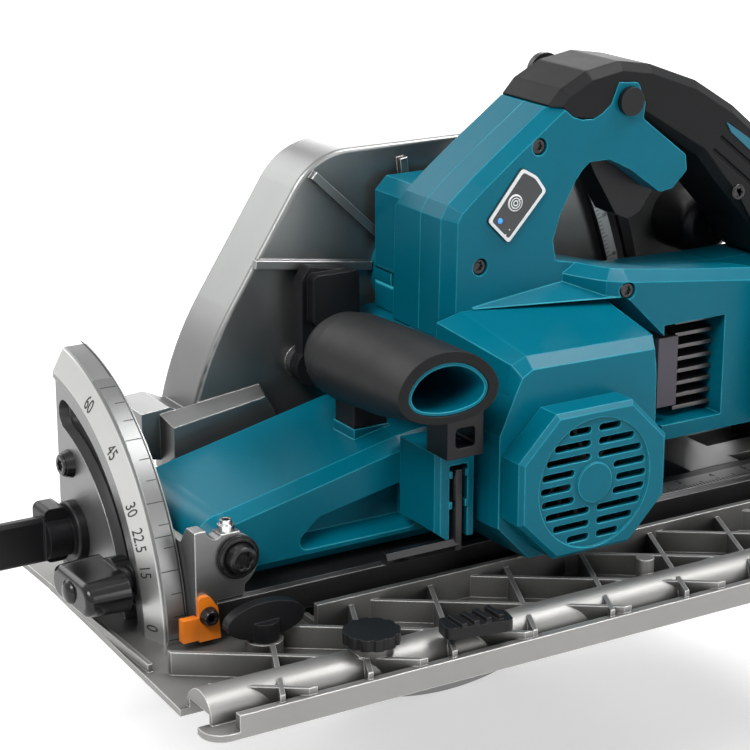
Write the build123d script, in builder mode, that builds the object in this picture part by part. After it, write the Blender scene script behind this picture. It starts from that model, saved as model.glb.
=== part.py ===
from build123d import *
from math import asin, atan2, cos, degrees, radians, sin, sqrt, tan
import os

# Cordless circular saw for guide rails: a ribbed base, a frame that tilts on two bevel
# plates, and a saw body that swings up from a front pivot to set the depth of cut.
# Frame: +X to the rear, -Y to the motor side, +Z up. The sole is Z = 0 and the blade cuts
# in the plane Y = 0. Lengths are millimetres.
os.makedirs("parts", exist_ok=True)

# Clearances
gap = 0.5                # between pieces of different bodies that pass each other
run = 0.05               # radial, shaft in its bore
seat = 0.2               # around a piece let into another of the same body

# Blade and drive
blade_r = 135.0
blade_t = 1.8
cut_depth = 101.0
tooth_count = 48
tooth_depth = 5.0
bevel_max = 60.0
depth_swing = 35.0
axle_x = 151.0
axle_z = blade_r - cut_depth
gear_module = 1.5
gear_teeth = 26          # on the spindle
second_teeth = 11        # small wheel of the intermediate shaft, drives the spindle
wheel_teeth = 24         # large wheel of the intermediate shaft
pinion_teeth = 8         # on the motor shaft
gear_width = 8.0
gear_y = -36.0           # middle of the spindle gear
wheel_y = -48.0          # middle of the wheel the motor drives
motor_offset = 35.0      # spindle to motor, up and forward at 45 degrees
lay_r = 5.0
spindle_r = 8.0
flange_r = 24.0
flange_t = 4.0
collar_r = 20.0
bolt_head_r = 9.0
bolt_head_t = 6.5

# Guards
guard_wall = 1.5
guard_clear = 4.5        # blade tip to the inside of the lower guard
guard_r = blade_r + guard_clear + guard_wall
guard_near_y = -14.0
guard_far_y = 9.5
guard_front = 186.0      # degrees, front lip when closed
guard_back = 365.0
guard_hub_r = 27.0
guard_rib_r = 112.0      # inner edge of the blade-side wall
case_wall = 3.0
case_clear = 5.5
case_r = guard_r + case_clear + case_wall
case_near_y = -20.0
case_far_y = 13.5
nose_x = -20.0
lever_at = (62.0, 86.0)  # pivot of the lever that opens the guard
lever_y = -26.0

# Base
sheet = 3.0
strip_h = 4.0
base_front = -74.0
base_rear = 332.0
lip_y = -197.0
lip_h = 10.0
lip_t = 3.5
strip_w = 12.0
wall_y = -130.0
wall_h = 16.5
wall_t = 3.0
rib_t = 2.2
rib_h = 13.0
rib_pitch = 29.5
rib_angle = -35.0
cross_pitch = 40.0
cross_angle = 66.0
rail_y = -176.0          # middle of the groove that rides the guide rail
rail_w = 17.0
rail_h = 7.0
hump_r = 11.0
corner_r = 9.0
fence_at = (-23.5, -140.0)
rail_knobs = ((6.5, rail_y - 0.5), (base_rear - 32.0, rail_y - 0.5))

# Bevel plates
plate_x = -58.0
rim_r = 111.0
rim_w = 14.0
web_t = 5.0
plate_y = -10.5          # edge beside the cutting line
slot_r = 82.0
slot_w = 14.0
slot_low = 5.0
clamp_angle = 16.0
clamp_bolt_r = 4.0
rear_plate_x = base_rear - 23.0
foot_h = 4.5
front_foot_x = plate_x + 10
rear_foot_x = rear_plate_x + 9.5
rear_rim_r = 72.0
rear_slot_r = 54.0
rear_slot_w = 10.0
rear_clamp_angle = 25.6
rear_edge_y = 9.0        # the rear plate passes the cutting line

# Tilt frame
pivot_x = -24.0
pivot_z = 40.0
pivot_r = 5.0
barrel_r = 15.0
bracket_y = -rim_r - 7.0    # the pointer rides outside the rim
bracket_far_y = -32.0
ear_t = 7.5
bracket_t = 4.0
bracket_top = 54.0
bar_w = 22.0
bar_z = 9.0
bar_h = 13.0
guide_r = 277.0
guide_w = 18.0
guide_t = 3.0
guide_y = -23.0
guide_low = -6.0         # degrees about the depth pivot
guide_bolt_r = 3.0

# Saw body
arm_near_y = bracket_y + ear_t + gap
arm_far_y = bracket_far_y - ear_t - gap
gear_case_y = -62.0
drum_y = -145.0          # where the motor housing's front edges start to slope
panel_y = -151.0         # raised face above the cap
cap_t = 14.0
cap_wide = 78.0
cap_high = 66.0
louvre_r = 28.0
block_low = 24.0
motor_r = 31.0
root_y = -92.0           # near face of the handle and its root
tail_y = -112.0          # near face of the body behind the motor
shell_mid_y = -70.0
grip_half = 22.0
crease_z = 121.0         # where the motor housing's top meets the root
clip_y = -140.0          # face of the key clip
housing_low = 48.0
post_seat = 75.5         # pads under the grip's posts
post_seat_y = -84.0      # middle of the inner post
body_x = 80.0            # front of the motor and gear blocks
housing_rear = 262.0

# Worked out from the above
gear_pitch_r = gear_module * gear_teeth / 2
second_pitch_r = gear_module * second_teeth / 2
wheel_pitch_r = gear_module * wheel_teeth / 2
pinion_pitch_r = gear_module * pinion_teeth / 2
motor_x = axle_x - motor_offset * cos(radians(45))
motor_z = axle_z + motor_offset * sin(radians(45))
# the intermediate shaft is the corner of the triangle on the two gear distances
near_gap = pinion_pitch_r + wheel_pitch_r
far_gap = gear_pitch_r + second_pitch_r
along = (near_gap ** 2 - far_gap ** 2 + motor_offset ** 2) / (2 * motor_offset)
aside = sqrt(near_gap ** 2 - along ** 2)
lay_x = motor_x + (along + aside) * cos(radians(45))
lay_z = motor_z + (aside - along) * sin(radians(45))
tilt_cos = cos(radians(bevel_max))
tilt_sin = sin(radians(bevel_max))
bolt_end_y = blade_t / 2 + flange_t + bolt_head_t
open_front = axle_x - guard_r - 2
open_rear = axle_x + guard_r + 3
open_near = guard_near_y / tilt_cos - 2
open_far = bolt_end_y / tilt_cos + strip_h * tilt_sin / tilt_cos + 2
strip_y = open_far + strip_w
case_low = (strip_h + 2 + case_far_y * tilt_sin) / tilt_cos
bracket_x = plate_x + rim_w + gap


def side(y):
    """Plane facing the motor side at Y = y; its own axes are X and Z."""
    return Plane.XZ.offset(-y)


def front(x):
    """Plane facing the rear at X = x; its own axes are Y and Z."""
    return Plane.YZ.offset(x)


def polar(radius, angle, centre=(0, 0)):
    """Point at a radius and an angle in degrees round a centre."""
    return (centre[0] + radius * cos(radians(angle)), centre[1] + radius * sin(radians(angle)))


def save(piece, label):
    """Label a finished piece and write it."""
    piece.part.label = label
    export_step(piece.part, f"parts/{label}.step")


def bearing(from_at, to_at):
    """Angle in degrees from one axis to another."""
    return degrees(atan2(to_at[1] - from_at[1], to_at[0] - from_at[0]))


def gear_face(at, teeth, turn, bore):
    """Spur wheel with one tooth at the angle turn, round a bore."""
    pitch = gear_module * teeth / 2
    with BuildSketch(mode=Mode.PRIVATE) as wheel:
        with Locations(at):
            Circle(pitch - 1.25 * gear_module)
        for tooth in range(teeth):
            where = turn + tooth * 360 / teeth
            with Locations(polar(pitch - 0.35, where, at)):
                Trapezoid(2.3, 3.2, 75, rotation=where - 90)
        with Locations(at):
            Circle(bore, mode=Mode.SUBTRACT)
    return wheel.sketch


lock_pin = (-52.0, 83.0)  # Y and Z of the spindle lock
axle = (axle_x, axle_z)
motor = (motor_x, motor_z)
lay = (lay_x, lay_z)
pivot = (pivot_x, pivot_z)

# ---------------------------------------------------------------- base
# Die-cast sole with an upstanding lip, a long inner wall and a lattice of ribs between
# them. The round hump is the roof of the guide-rail groove.
lattice_mid = (wall_y + lip_y) / 2
base_mid = (base_front + base_rear) / 2
with BuildPart() as base_plate:
    with BuildSketch():
        with BuildLine():
            Polyline((base_rear, strip_y), (base_rear, lip_y), (base_front - 4, lip_y),
                     (base_front - 2, lattice_mid), (base_front + 5, -20),
                     (base_front + 5, strip_y), close=True)
        make_face()
        fillet(vertices().sort_by(Axis.Y)[:2], corner_r)
        with Locations(((open_front + open_rear) / 2, (open_near + open_far) / 2)):
            Rectangle(open_rear - open_front, open_far - open_near, mode=Mode.SUBTRACT)
    extrude(amount=sheet)
    # blade-side strip, a little thicker than the sheet
    with BuildSketch(Plane.XY.offset(sheet)):
        with Locations(((open_front + base_rear) / 2, open_far + strip_w / 2)):
            Rectangle(base_rear - open_front, strip_w)
    extrude(amount=strip_h - sheet)
    # near lip and inner wall
    with BuildSketch(Plane.XY.offset(sheet)):
        with Locations((base_mid, lip_y + lip_t / 2)):
            Rectangle(base_rear - base_front - 2 * corner_r, lip_t)
    extrude(amount=lip_h - sheet)
    with BuildSketch(Plane.XY.offset(sheet)):
        with Locations(((6 + base_rear) / 2, wall_y - wall_t / 2)):
            Rectangle(base_rear - 6, wall_t)
    extrude(amount=wall_h - sheet)
    # lattice of ribs
    with BuildSketch(Plane.XY.offset(sheet)):
        reach = (wall_y - lip_y) / sin(radians(-rib_angle)) + 20
        first = round((base_front - base_mid) / (rib_pitch / sin(radians(-rib_angle))))
        for step in range(first, -first + 1):
            with Locations((base_mid + step * rib_pitch / sin(radians(-rib_angle)), lattice_mid)):
                Rectangle(reach, rib_t, rotation=rib_angle)
        for step in range(-4, 5):
            with Locations((base_mid + step * cross_pitch, lattice_mid)):
                Rectangle(reach, rib_t, rotation=cross_angle)
        with Locations((base_mid, lattice_mid)):
            Rectangle(base_rear - base_front - 2 * corner_r, wall_y - lip_y - lip_t,
                      mode=Mode.INTERSECT)
    extrude(amount=rib_h - sheet)
    # short ribs between the inner wall and the blade opening, low under the tilt frame
    with BuildSketch(Plane.XY.offset(sheet)):
        for step in range(-2, 4):
            with Locations((base_mid + step * 2 * cross_pitch - cross_pitch, (wall_y + open_near) / 2)):
                Rectangle(rib_t, open_near - wall_y)
        with Locations((base_mid, open_near - wall_t / 2)):
            Rectangle(base_rear - base_front - 60, wall_t)
    extrude(amount=bar_z - 2 * sheet + 0.5)
    # roof of the rail groove, then the groove itself
    with BuildSketch(front(base_front + 2)):
        with Locations((rail_y, sheet)):
            Circle(hump_r)
        with Locations((rail_y, sheet / 2 - hump_r)):
            Rectangle(3 * hump_r, 2 * hump_r + sheet, mode=Mode.SUBTRACT)
    extrude(amount=base_rear - base_front - 6)
    with BuildSketch(front(base_front - 10)):
        with Locations((rail_y, 0)):
            Rectangle(rail_w, 2 * rail_h)
    extrude(amount=base_rear - base_front + 20, mode=Mode.SUBTRACT)
    # bosses: rail adjusters, fence screw
    with Locations(*((*at, sheet) for at in rail_knobs)):
        Cylinder(9, 13.5, align=(Align.CENTER, Align.CENTER, Align.MIN))
    with Locations((*fence_at, sheet)):
        Cylinder(8, 8, align=(Align.CENTER, Align.CENTER, Align.MIN))
    # round post in the lattice
    with Locations((152, -169, sheet)):
        Cylinder(4, 17, align=(Align.CENTER, Align.CENTER, Align.MIN))
    # holes for the adjusters, the fence screw and the groove again through the bosses
    with BuildSketch(front(base_front - 10)):
        with Locations((rail_y, 0)):
            Rectangle(rail_w, 2 * rail_h)
    extrude(amount=base_rear - base_front + 20, mode=Mode.SUBTRACT)
    with Locations(*((*at, 0) for at in (*rail_knobs, fence_at))):
        Cylinder(3 + run, 40, mode=Mode.SUBTRACT)
    with Locations((*fence_at, sheet + 8)):
        Cylinder(12, 20, align=(Align.CENTER, Align.CENTER, Align.MIN), mode=Mode.SUBTRACT)
save(base_plate, "base_plate")


# Front bevel plate: a quarter disc on the cutting line with a concentric slot, a conical
# band for the numbers and a rim for the graduations.
slot_high = clamp_angle + bevel_max
slot_path = CenterArc((0, 0), slot_r, 180 - slot_high, slot_high - slot_low)
with BuildPart() as bevel_plate_front:
    with BuildSketch(Plane.XZ):
        with BuildLine():
            Polyline((plate_x + 1 + web_t, 0), (plate_x + 1, 0), (plate_x + 1, rim_r - 17),
                     (plate_x, rim_r - 15.5), (plate_x, rim_r - 13), (plate_x + 3, rim_r - 1),
                     (plate_x + 4, rim_r), (plate_x + rim_w, rim_r), (plate_x + rim_w, rim_r - 5),
                     (plate_x + web_t + 4, rim_r - 8), (plate_x + web_t + 1, rim_r - 13), close=True)
        make_face()
    revolve(axis=Axis.X, revolution_arc=90)
    with BuildSketch(front(plate_x - 2)):
        with BuildLine():
            Polyline((plate_y, sheet), (plate_y, 98), (plate_y - 7, rim_r + 2),
                     (-rim_r - 2, rim_r + 2), (-rim_r - 2, sheet), close=True)
        make_face()
    extrude(amount=rim_w + 4, mode=Mode.INTERSECT)
    # foot that stands on the base
    with BuildSketch(front(plate_x + 1)):
        with Locations((-60, sheet + foot_h / 2)):
            Rectangle(84, foot_h)
    extrude(amount=rim_w - 1)
    # slot, stop hub seat, holes
    with BuildSketch(front(plate_x - 2)):
        SlotArc(slot_path, slot_w)
        with Locations((-27, 27)):
            Circle(6 + run)
        with Locations((-23, 58)):
            Circle(2.5 + seat)
    extrude(amount=rim_w + 4, mode=Mode.SUBTRACT)
    with Locations((front_foot_x, -32, 0), (front_foot_x, -92, 0)):
        Cylinder(2.5 + seat, 30, mode=Mode.SUBTRACT)
save(bevel_plate_front, "bevel_plate_front")

# Rear bevel plate, smaller, plain
rear_slot_high = rear_clamp_angle + bevel_max
rear_path = CenterArc((0, 0), rear_slot_r, 180 - rear_slot_high, rear_slot_high - 14)
with BuildPart() as bevel_plate_rear:
    with BuildSketch(front(rear_plate_x)):
        Circle(rear_rim_r)
        with Locations((rear_edge_y - rear_rim_r, sheet + rear_rim_r / 2)):
            Rectangle(2 * rear_rim_r, rear_rim_r, mode=Mode.INTERSECT)
        SlotArc(rear_path, rear_slot_w, mode=Mode.SUBTRACT)
    extrude(amount=web_t)
    with BuildSketch(front(rear_plate_x)):
        with Locations((-40, sheet + foot_h / 2)):
            Rectangle(52, foot_h)
    extrude(amount=14)
    with Locations((rear_foot_x, -24, 0), (rear_foot_x, -56, 0)):
        Cylinder(2.5 + seat, 30, mode=Mode.SUBTRACT)
save(bevel_plate_rear, "bevel_plate_rear")

# Screws that hold both plates down on the base, and the round-headed screw on the front web
with BuildPart() as plate_screws:
    for place in ((front_foot_x, -32), (front_foot_x, -92), (rear_foot_x, -24), (rear_foot_x, -56)):
        with Locations((*place, sheet + foot_h)):
            Cylinder(3.9, 3, align=(Align.CENTER, Align.CENTER, Align.MIN))
        with Locations((*place, sheet)):
            Cylinder(2.5, foot_h, align=(Align.CENTER, Align.CENTER, Align.MIN))
    with BuildSketch(front(plate_x + 1)):
        with Locations((-23, 58)):
            Circle(6.5)
    extrude(amount=-3.5, taper=18)
    with BuildSketch(front(plate_x + 1)):
        with Locations((-23, 58)):
            Circle(2.5)
    extrude(amount=web_t + 4)
save(plate_screws, "plate_screws")

# Positive-stop knob: a flanged hub in the web, a thumb on its edge, and a flat paddle in
# line with its axis
stop_at = (-27, 27)
stop_face = plate_x + 1 - seat
with BuildPart() as stop_knob:
    with BuildSketch(front(plate_x + web_t + 3)):
        with Locations(stop_at):
            Circle(6)
    extrude(amount=-web_t - 3)
    with BuildSketch(front(stop_face)):
        with Locations(stop_at):
            Circle(14.5)
    extrude(amount=-4.5)
    fillet(edges().group_by(Axis.X)[0], 1.5)
    with BuildSketch(front(stop_face - 4)):
        with Locations(stop_at):
            Circle(9.5)
    extrude(amount=-12)
    # thumb: a rounded block across the hub
    with BuildSketch(side(stop_at[0] + 9)):
        with Locations((stop_face - 11, stop_at[1] + 2)):
            RectangleRounded(11, 25, 3)
    extrude(amount=13)
    with BuildSketch(front(stop_face - 10)):
        with Locations(stop_at):
            RectangleRounded(6, 21, 2)
    extrude(amount=-31)
    chamfer(edges().group_by(Axis.X)[0], 1)
    with Locations((plate_x + web_t + 3.5, *stop_at)):
        Cylinder(8, 2, rotation=(0, 90, 0))
save(stop_knob, "stop_knob")

# Rail-side adjusters: scalloped knobs whose stems nip the groove
for label, knob_at in zip(("rail_knob_front", "rail_knob_rear"), rail_knobs):
    with BuildPart() as rail_knob:
        with BuildSketch(Plane.XY.offset(sheet + 14)):
            with Locations(knob_at):
                Circle(12)
                with PolarLocations(13.4, 12):
                    Circle(2.2, mode=Mode.SUBTRACT)
        extrude(amount=5)
        with Locations((*knob_at, rail_h + 1)):
            Cylinder(3, sheet + 15 - rail_h, align=(Align.CENTER, Align.CENTER, Align.MIN))
    save(rail_knob, label)

# Slide that keeps the base from lifting off the rail
slide_mid = (49, -189)
with BuildPart() as slide_lever:
    with BuildSketch(Plane.XY.offset(rib_h + 3.5)):
        with Locations(slide_mid):
            RectangleRounded(30, 12, 3, rotation=rib_angle / 3)
    extrude(amount=5)
    with BuildSketch(Plane.XY.offset(rib_h + 8.5)):
        with Locations(slide_mid):
            with GridLocations(6, 0, 4, 1):
                Rectangle(2.5, 11)
    extrude(amount=2)
save(slide_lever, "slide_lever")

# Wing screw that clamps a rip fence
with BuildPart() as fence_screw:
    with BuildSketch(side(fence_at[1] + 2.5)):
        with Locations((fence_at[0], sheet + 17)):
            Ellipse(18, 8)
    extrude(amount=5)
    with Locations((*fence_at, sheet + 8.5)):
        Cylinder(6.5, 8, align=(Align.CENTER, Align.CENTER, Align.MIN))
    with Locations((*fence_at, 1)):
        Cylinder(3, 14, align=(Align.CENTER, Align.CENTER, Align.MIN))
save(fence_screw, "fence_screw")

# ---------------------------------------------------------------- tilt frame
# Front bracket: a wall behind the bevel plate with two ears for the depth pivot
ear_at = (pivot_x - 3, pivot_z - 2)
ear_r = 13.0
with BuildPart() as front_bracket:
    with BuildSketch(front(bracket_x)):
        with BuildLine():
            Polyline((bracket_y, bar_z), (bracket_y, bracket_top), (bracket_y + ear_t, bracket_top),
                     (bracket_y + ear_t + 6, bracket_top - 8), (bracket_far_y - 20, bracket_top - 8),
                     (bracket_far_y, bracket_top - 16), (bracket_far_y, bar_z), close=True)
        make_face()
    extrude(amount=bracket_t)
    for ear_y in (bracket_y + ear_t, bracket_far_y):
        with BuildSketch(side(ear_y)):
            with BuildLine():
                # a step at the top, a round ear about the pivot, then down to the bar
                Polyline((pivot_x + 2, bar_z), (bracket_x, bar_z), (bracket_x, bracket_top),
                         (bracket_x + 5, bracket_top))
                RadiusArc((bracket_x + 5, bracket_top), polar(ear_r, 120, ear_at), -7)
                CenterArc(ear_at, ear_r, -60, 180)
                Line(polar(ear_r, -60, ear_at), (pivot_x + 2, bar_z))
            make_face()
            # flat seat of the set screw
            with Locations((ear_at[0], ear_at[1] + ear_r - 3)):
                Rectangle(9, 6)
        extrude(amount=ear_t)
    with BuildSketch(side(bracket_far_y)):
        with Locations(((bracket_x + pivot_x + 5) / 2, bar_z + 6)):
            Rectangle(pivot_x + 5 - bracket_x, 12)
    extrude(amount=bracket_far_y - bracket_y)
    # room for the barrel of the arm, bore of the pivot and of the clamp bolt
    with BuildSketch(side(arm_far_y + gap)):
        with Locations(pivot):
            Circle(barrel_r + gap)
    extrude(amount=arm_far_y - arm_near_y + 2 * gap, mode=Mode.SUBTRACT)
    with BuildSketch(side(bracket_far_y + 1)):
        with Locations(pivot):
            Circle(pivot_r)
    extrude(amount=bracket_far_y - bracket_y + 2, mode=Mode.SUBTRACT)
    clamp_at = (-slot_r * cos(radians(clamp_angle)), slot_r * sin(radians(clamp_angle)))
    with BuildSketch(front(bracket_x - 1)):
        with Locations(clamp_at):
            Circle(clamp_bolt_r)
    extrude(amount=bracket_t + 2, mode=Mode.SUBTRACT)
    with BuildSketch(front(bracket_x + bracket_t)):
        with Locations(clamp_at):
            Circle(8.5)
    extrude(amount=5, mode=Mode.SUBTRACT)
    # recess for the tilt bar, which is let into the lower part
    with BuildSketch(side(bracket_y + bar_w + 2)):
        with Locations((bracket_x + 40, bar_z + bar_h / 2)):
            Rectangle(60, bar_h + 0.01)
    extrude(amount=bar_w + 2, mode=Mode.SUBTRACT)
save(front_bracket, "front_bracket")


# Wing knob on the clamp bolt
knob_x = plate_x + 1 - gap
with BuildPart() as bevel_clamp_knob:
    with BuildSketch(front(knob_x)):
        with Locations(clamp_at):
            Circle(11)
    extrude(amount=-7)
    with BuildSketch(front(knob_x - 6)):
        with Locations(clamp_at):
            SlotOverall(40, 17)
    extrude(amount=-20, taper=3)
    fillet(edges().group_by(Axis.X)[0], 3)
    with BuildSketch(front(knob_x + 1)):
        with Locations(clamp_at):
            Circle(clamp_bolt_r)
    extrude(amount=-19.5, mode=Mode.SUBTRACT)
save(bevel_clamp_knob, "bevel_clamp_knob")

# Chrome set screw in the bracket's top, bevel pointer and its screw
with BuildPart() as set_screw:
    with Locations((ear_at[0], bracket_y + ear_t / 2, ear_at[1] + ear_r)):
        Cylinder(2.6, 5, align=(Align.CENTER, Align.CENTER, Align.MIN))
        Cylinder(3.7, 3, align=(Align.CENTER, Align.CENTER, Align.MIN))
    with Locations((ear_at[0], bracket_y + ear_t / 2, ear_at[1] + ear_r + 1.5)):
        Cylinder(1.5, 5, align=(Align.CENTER, Align.CENTER, Align.MIN), mode=Mode.SUBTRACT)
save(set_screw, "set_screw")

pointer_x = bracket_x + 2
with BuildPart() as bevel_pointer:
    with BuildSketch(side(bracket_y)):
        with BuildLine():
            Polyline((pointer_x - 2, 6), (pointer_x + 8, 6), (pointer_x + 7, 20),
                     (pointer_x + 3, 26), (pointer_x - 2, 26), close=True)
        make_face()
        fillet(vertices().sort_by(Axis.Y)[-2:], 2)
    extrude(amount=2.4)
    with Locations((pointer_x - 5.5, bracket_y - 1.2, 12)):
        Box(8, 2.4, 10)
    with Locations((pointer_x - 6, bracket_y + 0.8, 12)):
        Box(7, 1.6, 10)
    with BuildSketch(side(bracket_y)):
        with Locations((pointer_x + 2.5, 17)):
            Circle(2.2)
    extrude(amount=2.4, mode=Mode.SUBTRACT)
save(bevel_pointer, "bevel_pointer")

with BuildPart() as pointer_screw:
    with BuildSketch(side(bracket_y - 2.4)):
        with Locations((pointer_x + 2.5, 17)):
            Circle(4.2)
    extrude(amount=2.6, taper=15)
    with BuildSketch(side(bracket_y)):
        with Locations((pointer_x + 2.5, 17)):
            Circle(2)
    extrude(amount=2.5)
save(pointer_screw, "pointer_screw")

# Pivot pin: flanged screw head outside the near ear
with BuildPart() as pivot_pin:
    with BuildSketch(side(bracket_far_y + 4)):
        with Locations(pivot):
            Circle(pivot_r - run)
    extrude(amount=bracket_far_y + 4 - bracket_y)
    with BuildSketch(side(bracket_y)):
        with Locations(pivot):
            Circle(9.5)
    extrude(amount=2)
    with BuildSketch(side(bracket_y - 2)):
        with Locations(pivot):
            Circle(7)
    extrude(amount=3.5, taper=12)
    with BuildSketch(side(bracket_far_y + 4)):
        with Locations(pivot):
            RegularPolygon(8, 6)
            Circle(pivot_r - run, mode=Mode.SUBTRACT)
    extrude(amount=4)
save(pivot_pin, "pivot_pin")

# Tilt bar along the near side, and the cross beam at its rear end
bar_front_x = bracket_x + 10
with BuildPart() as tilt_bar:
    with BuildSketch(side(bracket_y + bar_w)):
        with Locations(((bar_front_x + rear_plate_x - gap) / 2, bar_z + bar_h / 2)):
            Rectangle(rear_plate_x - gap - bar_front_x, bar_h)
    extrude(amount=bar_w)
    chamfer(edges().filter_by(Axis.X).group_by(Axis.Z)[-1], 1.5)
save(tilt_bar, "tilt_bar")

rear_clamp_at = polar(rear_slot_r, 180 - rear_clamp_angle)
beam_x0 = pivot_x + guide_r - guide_w / 2 - 8
beam_x1 = rear_plate_x - gap
with BuildPart() as rear_bracket:
    with BuildSketch(front(beam_x0)):
        with Locations(((bracket_y + bar_w + guide_y - guide_t) / 2, bar_z + bar_h / 2)):
            Rectangle(guide_y - guide_t - bracket_y - bar_w, bar_h)
    extrude(amount=30)
    with BuildSketch(front(beam_x1 - 6)):
        with Locations((-64, bar_z + 14)):
            Rectangle(64, 28)
    extrude(amount=6)
    with BuildSketch(front(beam_x0 + 30)):
        with Locations((-80, bar_z + bar_h / 2)):
            Rectangle(16, bar_h)
        with Locations((-46, bar_z + bar_h / 2)):
            Rectangle(16, bar_h)
    extrude(amount=beam_x1 - 6 - beam_x0 - 30)
    with BuildSketch(front(beam_x1 - 7)):
        with Locations(rear_clamp_at):
            Circle(clamp_bolt_r)
    extrude(amount=9, mode=Mode.SUBTRACT)
    with BuildSketch(front(beam_x1 - 6)):
        with Locations(rear_clamp_at):
            Circle(8.5)
    extrude(amount=-6, mode=Mode.SUBTRACT)
save(rear_bracket, "rear_bracket")

# Depth guide: a slotted arc about the depth pivot, on the face of the cross beam
guide_high = depth_swing + 3
guide_path = CenterArc(pivot, guide_r, guide_low, guide_high - guide_low)
guide_slot = CenterArc(pivot, guide_r, -1.2, depth_swing + 2.4)
with BuildPart() as depth_guide:
    with BuildSketch(side(guide_y)):
        SlotArc(guide_path, guide_w)
        with Locations((beam_x0 + 15, bar_z + bar_h / 2)):
            Rectangle(30, bar_h)
        SlotArc(guide_slot, 2 * guide_bolt_r + 1, mode=Mode.SUBTRACT)
    extrude(amount=guide_t)
save(depth_guide, "depth_guide")


# Bevel clamps: bolts through both plates' slots, and the small wing knob at the rear
with BuildPart() as clamp_bolts:
    for head_x, bolt_at, turn in ((bracket_x + bracket_t, clamp_at, -1),
                                  (beam_x1 - 6, rear_clamp_at, 1)):
        with BuildSketch(front(head_x)):
            with Locations(bolt_at):
                RegularPolygon(7, 6)
        extrude(amount=-4 * turn)
        with BuildSketch(front(head_x)):
            with Locations(bolt_at):
                Circle(clamp_bolt_r - run)
        extrude(amount=30 * turn)
save(clamp_bolts, "clamp_bolts")

with BuildPart() as rear_clamp_knob:
    with BuildSketch(front(rear_plate_x + web_t + gap)):
        with Locations(rear_clamp_at):
            Circle(9)
    extrude(amount=6)
    with BuildSketch(front(rear_plate_x + web_t + gap + 5)):
        with Locations(rear_clamp_at):
            SlotOverall(34, 13)
    extrude(amount=15, taper=3)
    fillet(edges().group_by(Axis.X)[-1], 2.5)
    with BuildSketch(front(rear_plate_x + web_t)):
        with Locations(rear_clamp_at):
            Circle(clamp_bolt_r)
    extrude(amount=19, mode=Mode.SUBTRACT)
save(rear_clamp_knob, "rear_clamp_knob")

# ---------------------------------------------------------------- saw body: case
# Blade case: round about the axle at the rear, carried forward by a bulge at the top
# front corner. It is open below and hollow for the lower guard.
duct_x = 278.0
boss = (122.0, 124.0)     # round front of the body, where the case's ribs meet
duct_z = 128.0
lead_angle = 147.0       # where the round front runs off straight to the top corner


def case_outline(inset, low):
    """Face of the case's side view, drawn in by inset, down to Z = low."""
    radius = case_r - inset
    start = degrees(asin((low - axle_z) / radius))
    lead = polar(radius, lead_angle, axle)
    corner = (lead[0] + (axle_z + radius - lead[1]) * tan(radians(180 - lead_angle)), axle_z + radius)
    with BuildSketch(mode=Mode.PRIVATE) as outline:
        with BuildLine():
            CenterArc(axle, radius, start, 90 - start)
            Polyline((axle_x, axle_z + radius), corner, lead)
            CenterArc(axle, radius, lead_angle, 180 - start - lead_angle)
            Line(polar(radius, 180 - start, axle), polar(radius, start, axle))
        make_face()
        top_corner = outline.vertices().sort_by_distance((*corner, 0))[0]
        fillet(top_corner, 34 - inset)
    return outline.sketch


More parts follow.
